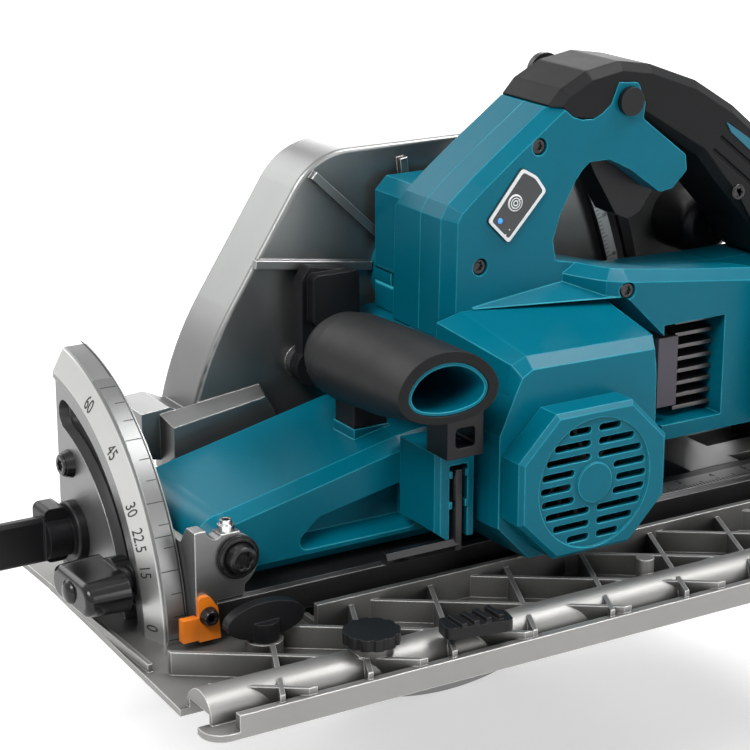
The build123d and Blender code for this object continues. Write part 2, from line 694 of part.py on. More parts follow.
with BuildPart() as blade_case:
    with BuildSketch(side(case_far_y)):
        add(case_outline(0, case_low))
    extrude(amount=case_far_y - case_near_y)
    fillet(edges().group_by(Axis.Y)[0].group_by(Axis.Z)[1:], 2)
    fillet(edges().group_by(Axis.Y)[-1].group_by(Axis.Z)[1:], 2)
    # stepped nose at the front with a bulge on its near side
    with BuildSketch(side(8)):
        with BuildLine():
            Polyline((nose_x, 73.5), (nose_x + 14, 74.5), (nose_x + 24, 70), (20, 66), (30, 80),
                     (30, case_low), (nose_x + 24, case_low), (nose_x + 23, 47.5),
                     (nose_x, 52), close=True)
        make_face()
    extrude(amount=8 - case_near_y)
    with BuildSketch(side(case_near_y)):
        with BuildLine():
            Polyline((-11, 72), (40, 78), (48, 64), (30, 50), (8, 40), (-11, 46), close=True)
        make_face()
    with BuildSketch(side(case_near_y - 10)):
        with BuildLine():
            Polyline((-9, 68), (38, 75), (44, 64), (26, 54), (6, 50), (-9, 54), close=True)
        make_face()
    loft(ruled=True)
    # outlet at the rear for the dust nozzle
    with BuildSketch(side(case_far_y)):
        with BuildLine():
            Polyline((230, 160), (262, 154), (duct_x + 18, duct_z + 20), (duct_x + 18, duct_z - 22),
                     (duct_x - 4, 90), (230, 90), close=True)
        make_face()
        fillet(vertices().sort_by(Axis.X)[-2:], 5)
    extrude(amount=case_far_y - case_near_y)
    # ribs on the near side, from the gear case outwards
    for rib_deg, rib_long in ((172, 62), (137, 50), (96, 30)):
        with BuildSketch(side(case_near_y)):
            with Locations(polar(rib_long / 2 + 23, rib_deg, boss)):
                Rectangle(rib_long, 4, rotation=rib_deg)
        extrude(amount=3.5)
    # stud of the guard lever
    with BuildSketch(side(case_near_y)):
        with Locations(lever_at):
            Circle(8)
    extrude(amount=case_near_y - lever_y - gap)
    with BuildSketch(side(case_near_y)):
        with Locations(lever_at):
            Circle(4 - run)
    extrude(amount=case_near_y - lever_y + 7)
    # hollow
    with BuildSketch(side(case_far_y - case_wall)):
        add(case_outline(case_wall, case_low - 1))
    extrude(amount=case_far_y - case_near_y - 2 * case_wall, mode=Mode.SUBTRACT)
    with BuildSketch(side(case_far_y - case_wall)):
        with Locations((duct_x - 8, duct_z)):
            Rectangle(44, 32)
    extrude(amount=case_far_y - case_near_y - 2 * case_wall, mode=Mode.SUBTRACT)
    with BuildSketch(side(case_near_y + case_wall + 1)):
        with Locations((duct_x + 2, duct_z)):
            Circle(12)
    extrude(amount=case_wall + 2, mode=Mode.SUBTRACT)
    # way to the blade bolt through the far wall
    with BuildSketch(side(case_far_y + 1)):
        with Locations(axle):
            Circle(flange_r + 5)
    extrude(amount=case_wall + 2, mode=Mode.SUBTRACT)
    # near wall carried down beside the gear case, bored for its collar
    with BuildSketch(side(case_near_y + case_wall)):
        with Locations((axle_x, axle_z)):
            Rectangle(150, 2 * (axle_z - 12))
        with Locations(axle):
            Circle(collar_r + seat, mode=Mode.SUBTRACT)
    extrude(amount=case_wall)
    with BuildSketch(side(case_near_y + case_wall + 1)):
        with Locations(axle):
            Circle(collar_r + seat)
    extrude(amount=case_wall + 2, mode=Mode.SUBTRACT)
save(blade_case, "blade_case")

# Gear case with the arm that reaches forward to the depth pivot
with BuildPart() as gear_case:
    with BuildSketch(side(arm_far_y)):
        with Locations(pivot):
            Circle(barrel_r)
        with BuildLine():
            Polyline((pivot_x, pivot_z - barrel_r), (body_x, bar_z + bar_h + 3), (body_x, 76),
                     (62, 74), (pivot_x, pivot_z + barrel_r), close=True)
        make_face()
    extrude(amount=arm_far_y - arm_near_y)
    chamfer(edges().group_by(Axis.Y)[0].filter_by(GeomType.LINE), 5)
    with Locations((57, post_seat_y, post_seat - 10)):
        Box(18, 18, 20)
    # pocket in the arm's near side
    with BuildSketch(side(arm_near_y)):
        with BuildLine():
            Polyline((4, 32), (70, 32), (70, 56), (20, 46), close=True)
        make_face()
        fillet(vertices(), 4)
    extrude(amount=-9, taper=25, mode=Mode.SUBTRACT)
    # gear case proper
    with BuildSketch(side(case_near_y - seat)):
        with BuildLine():
            Polyline((body_x, 12), (202, 12), (202, 70), (176, 108), (95, 108), (body_x, 88),
                     close=True)
        make_face()
        fillet(vertices(), 8)
    extrude(amount=case_near_y - seat - gear_case_y)
    with BuildSketch(side(case_near_y - seat)):
        with Locations(boss):
            Circle(22)
    extrude(amount=case_near_y - seat - root_y - 53)
    # collar that carries the spindle bearing and the lower guard
    with BuildSketch(side(guard_near_y + guard_wall + 1)):
        with Locations(axle):
            Circle(collar_r)
    extrude(amount=guard_near_y + guard_wall + 1 - case_near_y + 1)
    # depth pivot bore, gear chamber, pinion chamber, bores for shafts and bearings
    with BuildSketch(side(arm_far_y + 1)):
        with Locations(pivot):
            Circle(pivot_r + run)
    extrude(amount=arm_far_y - arm_near_y + 2, mode=Mode.SUBTRACT)
    with BuildSketch(side(gear_y + gear_width / 2 + 1)):
        with Locations(axle):
            Circle(gear_pitch_r + 2)
        with Locations(lay):
            Circle(wheel_pitch_r + 2)
    extrude(amount=gear_y + gear_width / 2 - wheel_y + gear_width / 2 + 2, mode=Mode.SUBTRACT)
    with BuildSketch(side(wheel_y + gear_width / 2 + 1)):
        with Locations(motor):
            Circle(pinion_pitch_r + 3)
    extrude(amount=wheel_y + gear_width / 2 + 1 - gear_case_y + 1, mode=Mode.SUBTRACT)
    with BuildSketch(side(guard_near_y + 5)):
        with Locations(axle):
            Circle(spindle_r + 5)
    extrude(amount=guard_near_y + 5 - gear_y, mode=Mode.SUBTRACT)
    with BuildSketch(side(gear_y)):
        with Locations(axle):
            Circle(spindle_r + run)
        with Locations(lay):
            Circle(lay_r + run)
    extrude(amount=gear_y - gear_case_y - 3, mode=Mode.SUBTRACT)
    with BuildSketch(side(gear_y)):
        with Locations(lay):
            Circle(lay_r + run)
    extrude(amount=-(case_near_y - gear_y - 3), mode=Mode.SUBTRACT)
    with BuildSketch(front(body_x - 20)):
        with Locations(lock_pin):
            Circle(3.5 + run)
    extrude(amount=40, mode=Mode.SUBTRACT)
save(gear_case, "gear_case")


# ---------------------------------------------------------------- saw body: motor
# Faceted motor housing. A block beside the gear case carries a drum that slopes in to a
# raised face above the cap.
body_y0 = gear_case_y - seat


def drum_face(y, drop, grow):
    """Outline of the drum at Y = y: grow widens it and drop lowers its top edge."""
    left = motor_x - cap_wide / 2 - 2 - grow / 3
    right = motor_x + cap_wide / 2 + 5 + grow
    with BuildSketch(side(y), mode=Mode.PRIVATE) as face:
        with BuildLine():
            Polyline((left + 16, block_low), (left, motor_z - 18), (left, motor_z + 24),
                     (left + 8, crease_z - 26 + drop / 2), (left + 11 - grow / 4, crease_z - 3 - drop),
                     (left + 17 + grow / 2, crease_z - drop), (right - 2, crease_z - 1 - drop),
                     (right + grow / 2, crease_z - 15 - drop), (right, motor_z - 12),
                     (right - 22, block_low), close=True)
        make_face()
    return face.sketch


def cap_face(grow):
    """Octagon of the motor cap, grown by a margin."""
    with BuildSketch(mode=Mode.PRIVATE) as face:
        with Locations((motor_x, motor_z + 1)):
            Rectangle(cap_wide + 2 * grow, cap_high + 2 * grow)
        chamfer(face.vertices(), 19)
    return face.sketch


with BuildPart() as motor_housing:
    with BuildSketch(side(body_y0)):
        with BuildLine():
            Polyline((body_x, block_low), (170, block_low), (190, 34), (202, 60), (202, 99),
                     (192, 108), (96, 108), (body_x, 92), close=True)
        make_face()
    extrude(amount=body_y0 - root_y + seat)
    for from_face, to_face in (((root_y - seat, 0, 9), (drum_y, 6.5, 2)),
                               ((drum_y, 6.5, 2), (panel_y, 11, -1))):
        add(drum_face(*from_face))
        add(drum_face(*to_face))
        loft(ruled=True)
    with BuildSketch(side(body_y0 + 1)):
        with Locations(motor):
            Circle(motor_r)
    extrude(amount=body_y0 + 1 - panel_y + 1, mode=Mode.SUBTRACT)
save(motor_housing, "motor_housing")

# Louvred octagonal end cap
with BuildPart() as motor_cap:
    with BuildSketch(side(panel_y - seat)):
        add(cap_face(0))
    extrude(amount=cap_t - seat)
    chamfer(edges().group_by(Axis.Y)[0], 2)
    with BuildSketch(side(panel_y + 1)):
        with Locations(motor):
            Circle(motor_r - 1)
    extrude(amount=cap_t - 2, mode=Mode.SUBTRACT)
    # shallow recess round the louvres
    with BuildSketch(side(panel_y - cap_t + 1)):
        with Locations(motor):
            Circle(louvre_r + 1.5)
            Circle(9, mode=Mode.SUBTRACT)
    extrude(amount=2, mode=Mode.SUBTRACT)
    with BuildSketch(side(panel_y - cap_t + 4)):
        for row in range(-4, 5):
            rise = row * 6.1
            outer_reach = sqrt(louvre_r ** 2 - rise ** 2)
            inner_reach = sqrt(max(12 ** 2 - rise ** 2, 2 ** 2))
            with Locations((motor_x - (outer_reach + inner_reach) / 2, motor_z + rise),
                           (motor_x + (outer_reach + inner_reach) / 2, motor_z + rise)):
                SlotOverall(outer_reach - inner_reach, 3.2)
    extrude(amount=cap_t, mode=Mode.SUBTRACT)
    # centre boss that holds the end of the shaft
    with BuildSketch(side(panel_y - cap_t + 4)):
        with Locations(motor):
            Circle(9)
    extrude(amount=4)
    with BuildSketch(side(panel_y - cap_t + 5)):
        with Locations(motor):
            Circle(4)
    extrude(amount=3, mode=Mode.SUBTRACT)
save(motor_cap, "motor_cap")

# Stator, the ring the rotor turns in
rotor_r = 18.5
with BuildPart() as stator:
    with BuildSketch(side(-82)):
        with Locations(motor):
            Circle(motor_r)
            Circle(rotor_r + gap, mode=Mode.SUBTRACT)
    extrude(amount=50)
save(stator, "stator")

# Rotor with its shaft, the pinion on its end and the cooling fan behind the louvres
pinion_end = wheel_y + gear_width / 2
shaft_r = 3.5
with BuildPart() as rotor:
    with BuildSketch(side(pinion_end)):
        with Locations(motor):
            Circle(shaft_r)
    extrude(amount=pinion_end - panel_y + cap_t - 3)
    with BuildSketch(side(-84)):
        with Locations(motor):
            Circle(rotor_r)
    extrude(amount=46)
save(rotor, "rotor")

with BuildPart() as pinion:
    with BuildSketch(side(pinion_end)):
        add(gear_face(motor, pinion_teeth, bearing(motor, lay), shaft_r + run))
    extrude(amount=gear_width)
save(pinion, "pinion")

with BuildPart() as fan:
    with BuildSketch(side(panel_y + 10)):
        with Locations(motor):
            Circle(9)
            Circle(shaft_r + run, mode=Mode.SUBTRACT)
            with PolarLocations(17, 12):
                Rectangle(21, 1.8, rotation=25)
    extrude(amount=10)
    with BuildSketch(side(panel_y + 12)):
        with Locations(motor):
            Circle(motor_r - 3)
            Circle(shaft_r + run, mode=Mode.SUBTRACT)
    extrude(amount=2)
save(fan, "fan")

# ---------------------------------------------------------------- drive train
with BuildPart() as drive_gear:
    with BuildSketch(side(gear_y + gear_width / 2)):
        add(gear_face(axle, gear_teeth, bearing(axle, lay) + 180 / gear_teeth, spindle_r + run))
    extrude(amount=gear_width)
save(drive_gear, "drive_gear")

with BuildPart() as lay_shaft:
    with BuildSketch(side(case_near_y - 3.5)):
        with Locations(lay):
            Circle(lay_r)
    extrude(amount=case_near_y - 3.5 - (gear_case_y + 3.5))
    with BuildSketch(side(gear_y + gear_width / 2)):
        add(gear_face(lay, second_teeth, bearing(lay, axle), 2))
    extrude(amount=gear_width)
    with BuildSketch(side(wheel_y + gear_width / 2)):
        add(gear_face(lay, wheel_teeth, bearing(lay, motor) + 180 / wheel_teeth, 2))
    extrude(amount=gear_width)
save(lay_shaft, "lay_shaft")

flange_y = -blade_t / 2 - flange_t
with BuildPart() as spindle:
    with BuildSketch(side(flange_y)):
        with Locations(axle):
            Circle(spindle_r)
    extrude(amount=flange_y - gear_case_y - 3.5)
    with BuildSketch(side(blade_t / 2)):
        with Locations(axle):
            Circle(7.5)
    extrude(amount=blade_t + flange_t)
    with BuildSketch(side(blade_t / 2 + 1)):
        with Locations(axle):
            Circle(4)
    extrude(amount=22, mode=Mode.SUBTRACT)
save(spindle, "spindle")

with BuildPart() as bearings:
    with BuildSketch(side(guard_near_y + 4)):
        with Locations(axle):
            Circle(spindle_r + 5)
            Circle(spindle_r + run, mode=Mode.SUBTRACT)
    extrude(amount=9)
    with BuildSketch(side(gear_case_y + 6)):
        with Locations(motor):
            Circle(pinion_pitch_r + 3)
            Circle(shaft_r + run, mode=Mode.SUBTRACT)
    extrude(amount=5)
save(bearings, "bearings")

for label, face_y in (("inner_flange", -blade_t / 2), ("outer_flange", blade_t / 2 + flange_t)):
    with BuildPart() as flange:
        with BuildSketch(side(face_y)):
            with Locations(axle):
                Circle(flange_r)
        extrude(amount=flange_t)
        if label == "outer_flange":
            chamfer(edges().group_by(Axis.Y)[-1], 1.2)
        with BuildSketch(side(face_y + 1)):
            with Locations(axle):
                Circle(7.5 + run if label == "inner_flange" else 4 + run)
        extrude(amount=flange_t + 2, mode=Mode.SUBTRACT)
    save(flange, label)

with BuildPart() as blade_bolt:
    with BuildSketch(side(bolt_end_y)):
        with Locations(axle):
            Circle(bolt_head_r)
    extrude(amount=bolt_head_t)
    with BuildSketch(side(bolt_end_y)):
        with Locations(axle):
            RegularPolygon(3.6, 6)
    extrude(amount=4, mode=Mode.SUBTRACT)
    with BuildSketch(side(blade_t / 2 + flange_t)):
        with Locations(axle):
            Circle(4 - run)
    extrude(amount=22)
save(blade_bolt, "blade_bolt")

# Blade with hooked teeth cut by one gullet repeated round the rim
with BuildPart() as saw_blade:
    with BuildSketch(side(blade_t / 2)):
        with BuildLine():
            rim = []
            for tooth in range(tooth_count):
                turn = tooth * 360 / tooth_count
                rim += [polar(blade_r, turn, axle), polar(blade_r - 1.2, turn + 3.1, axle),
                        polar(blade_r - tooth_depth, turn + 4.6, axle),
                        polar(blade_r - tooth_depth, turn + 6.3, axle)]
            Polyline(*rim, close=True)
        make_face()
        with Locations(axle):
            Circle(7.5 + run, mode=Mode.SUBTRACT)
    extrude(amount=blade_t)
save(saw_blade, "saw_blade")

# ---------------------------------------------------------------- lower guard
with BuildPart() as lower_guard:
    def sector(outer, inner):
        """Ring sector of the closed guard."""
        with BuildSketch(mode=Mode.PRIVATE) as ring:
            with BuildLine():
                CenterArc(axle, outer, guard_front, guard_back - guard_front)
                Line(polar(outer, guard_back, axle), polar(inner, guard_back, axle))
                CenterArc(axle, inner, guard_front, guard_back - guard_front)
                Line(polar(inner, guard_front, axle), polar(outer, guard_front, axle))
            make_face()
        return ring.sketch
    with BuildSketch(side(guard_far_y)):
        add(sector(guard_r, guard_r - guard_wall))
    extrude(amount=guard_far_y - guard_near_y)
    with BuildSketch(side(guard_far_y)):
        add(sector(guard_r, guard_rib_r))
    extrude(amount=guard_wall)
    with BuildSketch(side(guard_near_y + guard_wall)):
        add(sector(guard_r, collar_r + run))
        with Locations(axle):
            Circle(guard_hub_r)
            Circle(collar_r + run, mode=Mode.SUBTRACT)
    extrude(amount=guard_wall)
    with BuildSketch(side(guard_near_y)):
        with Locations(axle):
            Circle(guard_hub_r)
            Circle(collar_r + run, mode=Mode.SUBTRACT)
    extrude(amount=2)
save(lower_guard, "lower_guard")

# Lever that opens the guard by hand, on its own pivot ahead of the gear case
with BuildPart() as guard_lever:
    with BuildSketch(side(lever_y)):
        with BuildLine():
            Polyline((lever_at[0] - 6, lever_at[1] - 8), (56, 128), (60, 134), (84, 130), (86, 104),
                     (70, 102), (lever_at[0] + 7, lever_at[1] - 6), close=True)
        make_face()
        fillet(vertices(), 2.5)
        with Locations(lever_at):
            Circle(9)
    extrude(amount=7)
    with BuildSketch(side(lever_y - 7)):
        with Locations((71, 119)):
            RectangleRounded(24, 24, 3)
    extrude(amount=6)
    with BuildSketch(side(lever_y + 1)):
        with Locations(lever_at):
            Circle(4)
    extrude(amount=12, mode=Mode.SUBTRACT)
save(guard_lever, "guard_lever")

# ---------------------------------------------------------------- shells and handle
# Two mirrored shells meet on the middle plane of the handle. Each carries half of the
# front root, the flank beside the trigger and half of the body behind the motor.
floor_far_y = shell_mid_y + grip_half
floor_flat = 118.0       # roof over the battery rails
trigger_at = (186.0, 190.0)
lock_at = (194.0, 207.0)
root_screws = ((145, 191), (114, 140))
tail_screws = ((182, 124), (193, 42))


def handle_side():
    """Side view of the root, the neck over the trigger and the flank behind it."""
    with BuildSketch(mode=Mode.PRIVATE) as view:
        with BuildLine():
            Polyline((95.5, 108.5), (96.5, 163), (100, 169), (112, 179), (128, 191), (151, 207.5),
                     (157, 207.5), (163, 202.6), (168, 200.8), (174, 200.6), (179, 202.6),
                     (184, 206.5), (188, 216), (199, 215), (203.5, 205), (202.5, 198),
                     (228, 178.5), (229, 171), (221, 163.4), (213.7, 162.3), (209, 165.7),
                     (196, 175), (184, 181), (173, 181), (169, 178), (165, 173), (157, 158.5),
                     (153.4, 147), (155, 138), (170.5, 130), (170.5, 108.5), close=True)
        make_face()
        fillet(view.vertices().filter_by(lambda v: v.X > 195 and v.Y > 150), 2)
    return view.sketch


def tail_side(y, roof):
    """Side view of the body behind the motor at Y = y under a roof line of four heights."""
    with BuildSketch(side(y), mode=Mode.PRIVATE) as view:
        with BuildLine():
            Polyline((155, roof[0]), (187, roof[1]), (214, roof[2]), (housing_rear, roof[3]),
                     (housing_rear, housing_low), (207, housing_low), (203.5, 56), (203.5, 99.5),
                     (181, crease_z + seat), (155, crease_z + seat), close=True)
        make_face()
    return view.sketch


def trigger_room():
    """Side view of the slot the trigger swings in."""
    with BuildSketch(mode=Mode.PRIVATE) as room:
        with BuildLine():
            Polyline((176, 170), (174, 194), (184, 197), (232, 182), (236, 150), (190, 140),
                     close=True)
        make_face()
    return room.sketch


roof_near = (137, 133, 129.7, 123.8)
roof_mid = (138, 128.8, 122.8, floor_flat + 0.5)
roof_far = (137.5, 126.5, 119.5, floor_flat)
with BuildPart() as shell_near:
    # body behind the motor: its roof rises towards the near face
    add(tail_side(shell_mid_y, roof_mid))
    add(tail_side(tail_y, roof_near))
    loft(ruled=True)
    # the front corner is cut back to the root, and the top edge is bevelled
    with BuildSketch(Plane.XY.offset(crease_z)):
        with BuildLine():
            Polyline((150, root_y), (159, root_y), (177, tail_y - 1), (150, tail_y - 1), close=True)
        make_face()
    extrude(amount=30, mode=Mode.SUBTRACT)
    chamfer(edges().filter_by(lambda e: e.center().Y < root_y - 2
                              and e.center().Z > roof_near[3] - 1), 5.6)
    # ledge that flares from the root to the near face, over the motor housing
    with BuildSketch(front(110)):
        with BuildLine():
            Polyline((root_y + 1, crease_z + seat), (root_y + 1, crease_z + 1.5),
                     (root_y - 1, crease_z + seat), close=True)
        make_face()
    with BuildSketch(front(182)):
        with BuildLine():
            Polyline((root_y + 1, crease_z + seat), (root_y + 1, crease_z + 9),
                     (tail_y, crease_z + seat), close=True)
        make_face()
    loft(ruled=True)
    # roof over the battery rails
    with BuildSketch(side(shell_mid_y)):
        with BuildLine():
            Polyline((250, 114.5), (250, floor_flat), (336, floor_flat), (340, 114.5), close=True)
        make_face()
    extrude(amount=shell_mid_y - tail_y - 4)
    with BuildSketch(side(shell_mid_y)):
        add(handle_side())
    extrude(amount=grip_half)
    chamfer(edges().filter_by(lambda e: abs(e.center().Y - root_y) < 0.1 and e.center().X < 152
                              and e.center().Z > 116 and e.length > 3
                              and (e @ 0.5).Z > (e @ 0.5).X * 1.05), 5.5)
    # window onto the heat sink
    with BuildSketch(side(tail_y)):
        with Locations((221.5, 79.8)):
            Rectangle(36, 49)
    extrude(amount=-30, mode=Mode.SUBTRACT)
    # slot for the trigger, its pin and the lock button
    with BuildSketch(side(shell_mid_y + 1)):
        add(trigger_room())
    extrude(amount=10, mode=Mode.SUBTRACT)
    with BuildSketch(side(shell_mid_y + 1)):
        with Locations(trigger_at):
            Circle(2 + run)
    extrude(amount=13, mode=Mode.SUBTRACT)
    with BuildSketch(side(shell_mid_y + 1)):
        with Locations(lock_at):
            Circle(6.5 + run)
    extrude(amount=grip_half + 3, mode=Mode.SUBTRACT)
    # body screws
    for screw_y, screws in ((root_y, root_screws), (tail_y, tail_screws)):
        with BuildSketch(side(screw_y)):
            with Locations(*screws):
                Circle(4)
        extrude(amount=-5, mode=Mode.SUBTRACT)
save(shell_near, "shell_near")

with BuildPart() as shell_far:
    add(tail_side(shell_mid_y, roof_mid))
    add(tail_side(floor_far_y, roof_far))
    loft(ruled=True)
    with BuildSketch(side(floor_far_y)):
        with BuildLine():
            Polyline((250, 114.5), (250, floor_flat), (336, floor_flat), (340, 114.5), close=True)
        make_face()
    extrude(amount=grip_half)
    with BuildSketch(side(floor_far_y)):
        add(handle_side())
    extrude(amount=grip_half)
    chamfer(edges().filter_by(lambda e: abs(e.center().Y - floor_far_y) < 0.1 and e.center().X < 152
                              and e.center().Z > 176 and e.length > 3
                              and (e @ 0.5).Z > (e @ 0.5).X * 1.05), 4)
    # web down to the gear case, kept forward of the swing of the depth guide
    with BuildSketch(side(case_near_y - 5)):
        with BuildLine():
            Polyline((100, 108.5), (100, 164), (106, 170), (146, 170), (153, 148), (170, 128),
                     (170, 108.5), close=True)
        make_face()
        with Locations(boss):
            Circle(22 + seat, mode=Mode.SUBTRACT)
    extrude(amount=case_near_y - 5 - floor_far_y)
    with BuildSketch(side(shell_mid_y + 9)):
        add(trigger_room())
    extrude(amount=10, mode=Mode.SUBTRACT)
    with BuildSketch(side(shell_mid_y + 12)):
        with Locations(trigger_at):
            Circle(2 + run)
    extrude(amount=13, mode=Mode.SUBTRACT)
    with BuildSketch(side(shell_mid_y + grip_half + 1)):
        with Locations(lock_at):
            Circle(6.5 + run)
    extrude(amount=grip_half + 3, mode=Mode.SUBTRACT)
save(shell_far, "shell_far")

# Rubber-covered grip: from the neck over the top and down to the tail of the shells. It
# is seated round the handle's outline.
with BuildPart() as rubber_grip:
    with BuildSketch(side(floor_far_y)):
        with BuildLine():
            Polyline((152, 208.5), (158, 215), (172, 222), (190, 225), (208, 222), (235, 212),
                     (258, 198), (278, 182), (322, 150), (336, 134), (338, floor_flat + seat),
                     (290, floor_flat + seat), (282, 124), (272, 139), (250, 162), (237.5, 176.5),
                     (202, 198), (180, 196), (156, 200), close=True)
        make_face()
        fillet(vertices().filter_by(lambda v: v.Y > 141 and v.X > 156 and v.Y > 160), 5)
    extrude(amount=2 * grip_half)
    for rim in (edges().group_by(Axis.Y)[0], edges().group_by(Axis.Y)[-1]):
        chamfer(rim.filter_by(lambda e: e.center().Y + e.center().Z > 40
                              and e.center().X > 156 and e.length > 6), 4)
    with BuildSketch(side(floor_far_y + 1)):
        offset(handle_side(), amount=seat)
    extrude(amount=2 * grip_half + 2, mode=Mode.SUBTRACT)
    with BuildSketch(side(floor_far_y + 1)):
        with Locations(lock_at):
            Circle(8)
    extrude(amount=2 * grip_half + 3, mode=Mode.SUBTRACT)
    with BuildSketch(side(shell_mid_y + 9)):
        add(trigger_room())
    extrude(amount=18, mode=Mode.SUBTRACT)
    # grooves in the near side of the palm
    for groove in range(3):
        with BuildSketch(side(root_y)):
            with Locations(polar(7 * groove, 52, (262, 165))):
                SlotOverall(46, 2.2, rotation=-38)
        extrude(amount=-1.5, mode=Mode.SUBTRACT)
save(rubber_grip, "rubber_grip")

# Trigger and lock-off button
with BuildPart() as trigger:
    with BuildSketch(side(shell_mid_y + 8)):
        with BuildLine():
            Polyline((180, 184), (186, 195), (194, 192), (219, 172), (221, 161), (213, 150),
                     (206, 147.5), (199, 151), (186, 172), close=True)
        make_face()
        fillet(vertices().group_by(Axis.Y)[0], 3)
    extrude(amount=16)
    with BuildSketch(side(shell_mid_y + 11.5)):
        with Locations(trigger_at):
            Circle(2)
    extrude(amount=23)
save(trigger, "trigger")

with BuildPart() as lock_button:
    with BuildSketch(side(shell_mid_y + grip_half + 3)):
        with Locations(lock_at):
            Circle(6.5)
    extrude(amount=2 * grip_half + 6)
save(lock_button, "lock_button")

# ---------------------------------------------------------------- front grip
# Barrel across the saw, closed and round at the case end, open and bean-shaped at the
# near end, on two posts
grip_at = Vector(55, -66, 104)
grip_to = Vector(48.5, -168, 112)
grip_axis = (grip_to - grip_at).normalized()
grip_len = (grip_to - grip_at).length
grip_wall = 4.6


def grip_section(distance, wide, high, low):
    """Closed curve across the grip: high above the axis, low below it."""
    across = Plane(origin=grip_at + grip_axis * distance, x_dir=(1, 0, 0), z_dir=grip_axis)
    turns = [30 * step for step in range(12)]
    with BuildSketch(across, mode=Mode.PRIVATE) as section:
        with BuildLine():
            Spline(*[(wide / 2 * cos(radians(turn)),
                      -(high if turn > 180 else low) * sin(radians(turn))) for turn in turns],
                   periodic=True)
        make_face()
    return section.sketch


grip_sections = ((0, 28, 13, 13), (3, 35, 16.5, 16.5), (9, 40, 19, 19), (20, 43, 20.4, 19.6),
                 (58, 44.5, 20.5, 18), (grip_len, 46.5, 18.6, 11.5))


def grip_hollow(trim, last):
    """Bore of the grip, drawn in by trim and ended at a distance along the axis."""
    add(grip_section(15 + trim, 28 - 2 * trim, 12.5 - trim, 11 - trim))
    add(grip_section(last, 46.5 - 2 * grip_wall - 2 * trim, 18.6 - grip_wall - trim,
                     11.5 - 0.7 * grip_wall - trim))


with BuildPart() as front_grip:
    for section in grip_sections:
        add(grip_section(*section))
    loft(ruled=True)
    grip_hollow(0, grip_len + 0.5)
    loft(ruled=True, mode=Mode.SUBTRACT)
save(front_grip, "front_grip")

with BuildPart() as grip_liner:
    grip_hollow(seat, grip_len - 0.6)
    loft(ruled=True)
    grip_hollow(1.7, grip_len)
    loft(ruled=True, mode=Mode.SUBTRACT)
save(grip_liner, "grip_liner")

# Posts: a pierced strut near the open end, a corrugated post at the case end
post_x = 70.0
with BuildPart() as grip_posts:
    with BuildSketch(side(clip_y + 8)):
        with Locations((post_x, (post_seat + 104) / 2)):
            Rectangle(18, 104 - post_seat)
    extrude(amount=16)
    with BuildSketch(side(post_seat_y + 8)):
        with Locations((57, (post_seat + 104) / 2)):
            Rectangle(17, 104 - post_seat)
    extrude(amount=16)
    with BuildSketch(side(clip_y + 9)):
        with Locations((post_x, post_seat + 9)):
            RectangleRounded(10, 9, 2)
    extrude(amount=20, mode=Mode.SUBTRACT)
    with BuildSketch(side(post_seat_y + 10)):
        with Locations((57, 82)):
            with GridLocations(4, 0, 4, 1):
                Rectangle(1.6, 12)
    extrude(amount=3, mode=Mode.SUBTRACT)
    for section in grip_sections:
        add(grip_section(*section))
    loft(ruled=True, mode=Mode.SUBTRACT)
save(grip_posts, "grip_posts")

# ---------------------------------------------------------------- small fittings
# Box in front of the motor: it carries the grip's near post on top and holds the hex key
# in a groove of its near face
clip_x = 61.0
key_x = 72.0
key_r = 3.0
with BuildPart() as key_clip:
    with BuildSketch(side(arm_near_y - seat)):
        with BuildLine():
            Polyline((clip_x, 40), (clip_x + 5, 36), (body_x + 3, 36), (body_x + 3, post_seat),
                     (clip_x, post_seat), close=True)
        make_face()
    extrude(amount=arm_near_y - seat - clip_y)
    chamfer(edges().filter_by(Axis.Z).group_by(Axis.Y)[0].group_by(Axis.X)[0], 2)
    # cut clear of the motor housing behind it
    with BuildSketch(side(arm_near_y)):
        with Locations((body_x + 12, 56)):
            Rectangle(24.4, 80)
    extrude(amount=arm_near_y - clip_y + 1, mode=Mode.SUBTRACT)
    # groove of the key with two rounded keepers across its sides
    with BuildSketch(Plane.XY.offset(20)):
        with Locations((key_x, clip_y + 2)):
            Rectangle(2 * key_r + 3.4, 13)
    extrude(amount=post_seat - 26, mode=Mode.SUBTRACT)
    for keeper in (50, 64):
        with BuildSketch(Plane.XY.offset(keeper)):
            with Locations((key_x, clip_y + 4)):
                Rectangle(2 * key_r + 3.4, 9)
        extrude(amount=3)
    with BuildSketch(Plane.XY.offset(20)):
        with Locations((key_x, clip_y + 2)):
            Circle(key_r + 0.4)
        with Locations((key_x, clip_y - 4)):
            Rectangle(2 * key_r + 0.8, 12)
    extrude(amount=post_seat - 26, mode=Mode.SUBTRACT)
save(key_clip, "key_clip")

key_low = 33.0
with BuildPart() as hex_key:
    with BuildSketch(Plane.XY.offset(key_low - key_r * 0.9)):
        with Locations((key_x, clip_y + 2)):
            RegularPolygon(key_r, 6)
    extrude(amount=70 - key_low)
    with BuildSketch(front(key_x)):
        with Locations((clip_y + 2, key_low)):
            RegularPolygon(key_r, 6)
    extrude(amount=-36)
save(hex_key, "hex_key")

# Heat sink behind the window
window_x = 228.0
with BuildPart() as heat_sink:
    with Locations((window_x, tail_y + 27, 80)):
        Box(22, 4, 48)
    for fin in range(8):
        with Locations((window_x, tail_y + 17, 59.5 + 6 * fin)):
            Box(22, 17, 1.8)
save(heat_sink, "heat_sink")

# Bare plate beside the fins
with BuildPart() as blank_plate:
    with Locations((209.5, tail_y + 5, 79.8)):
        Box(11.5, 2, 34)
    with Locations((209.5, tail_y + 17.3, 79.8)):
        Box(8, 22.6, 30)
save(blank_plate, "blank_plate")

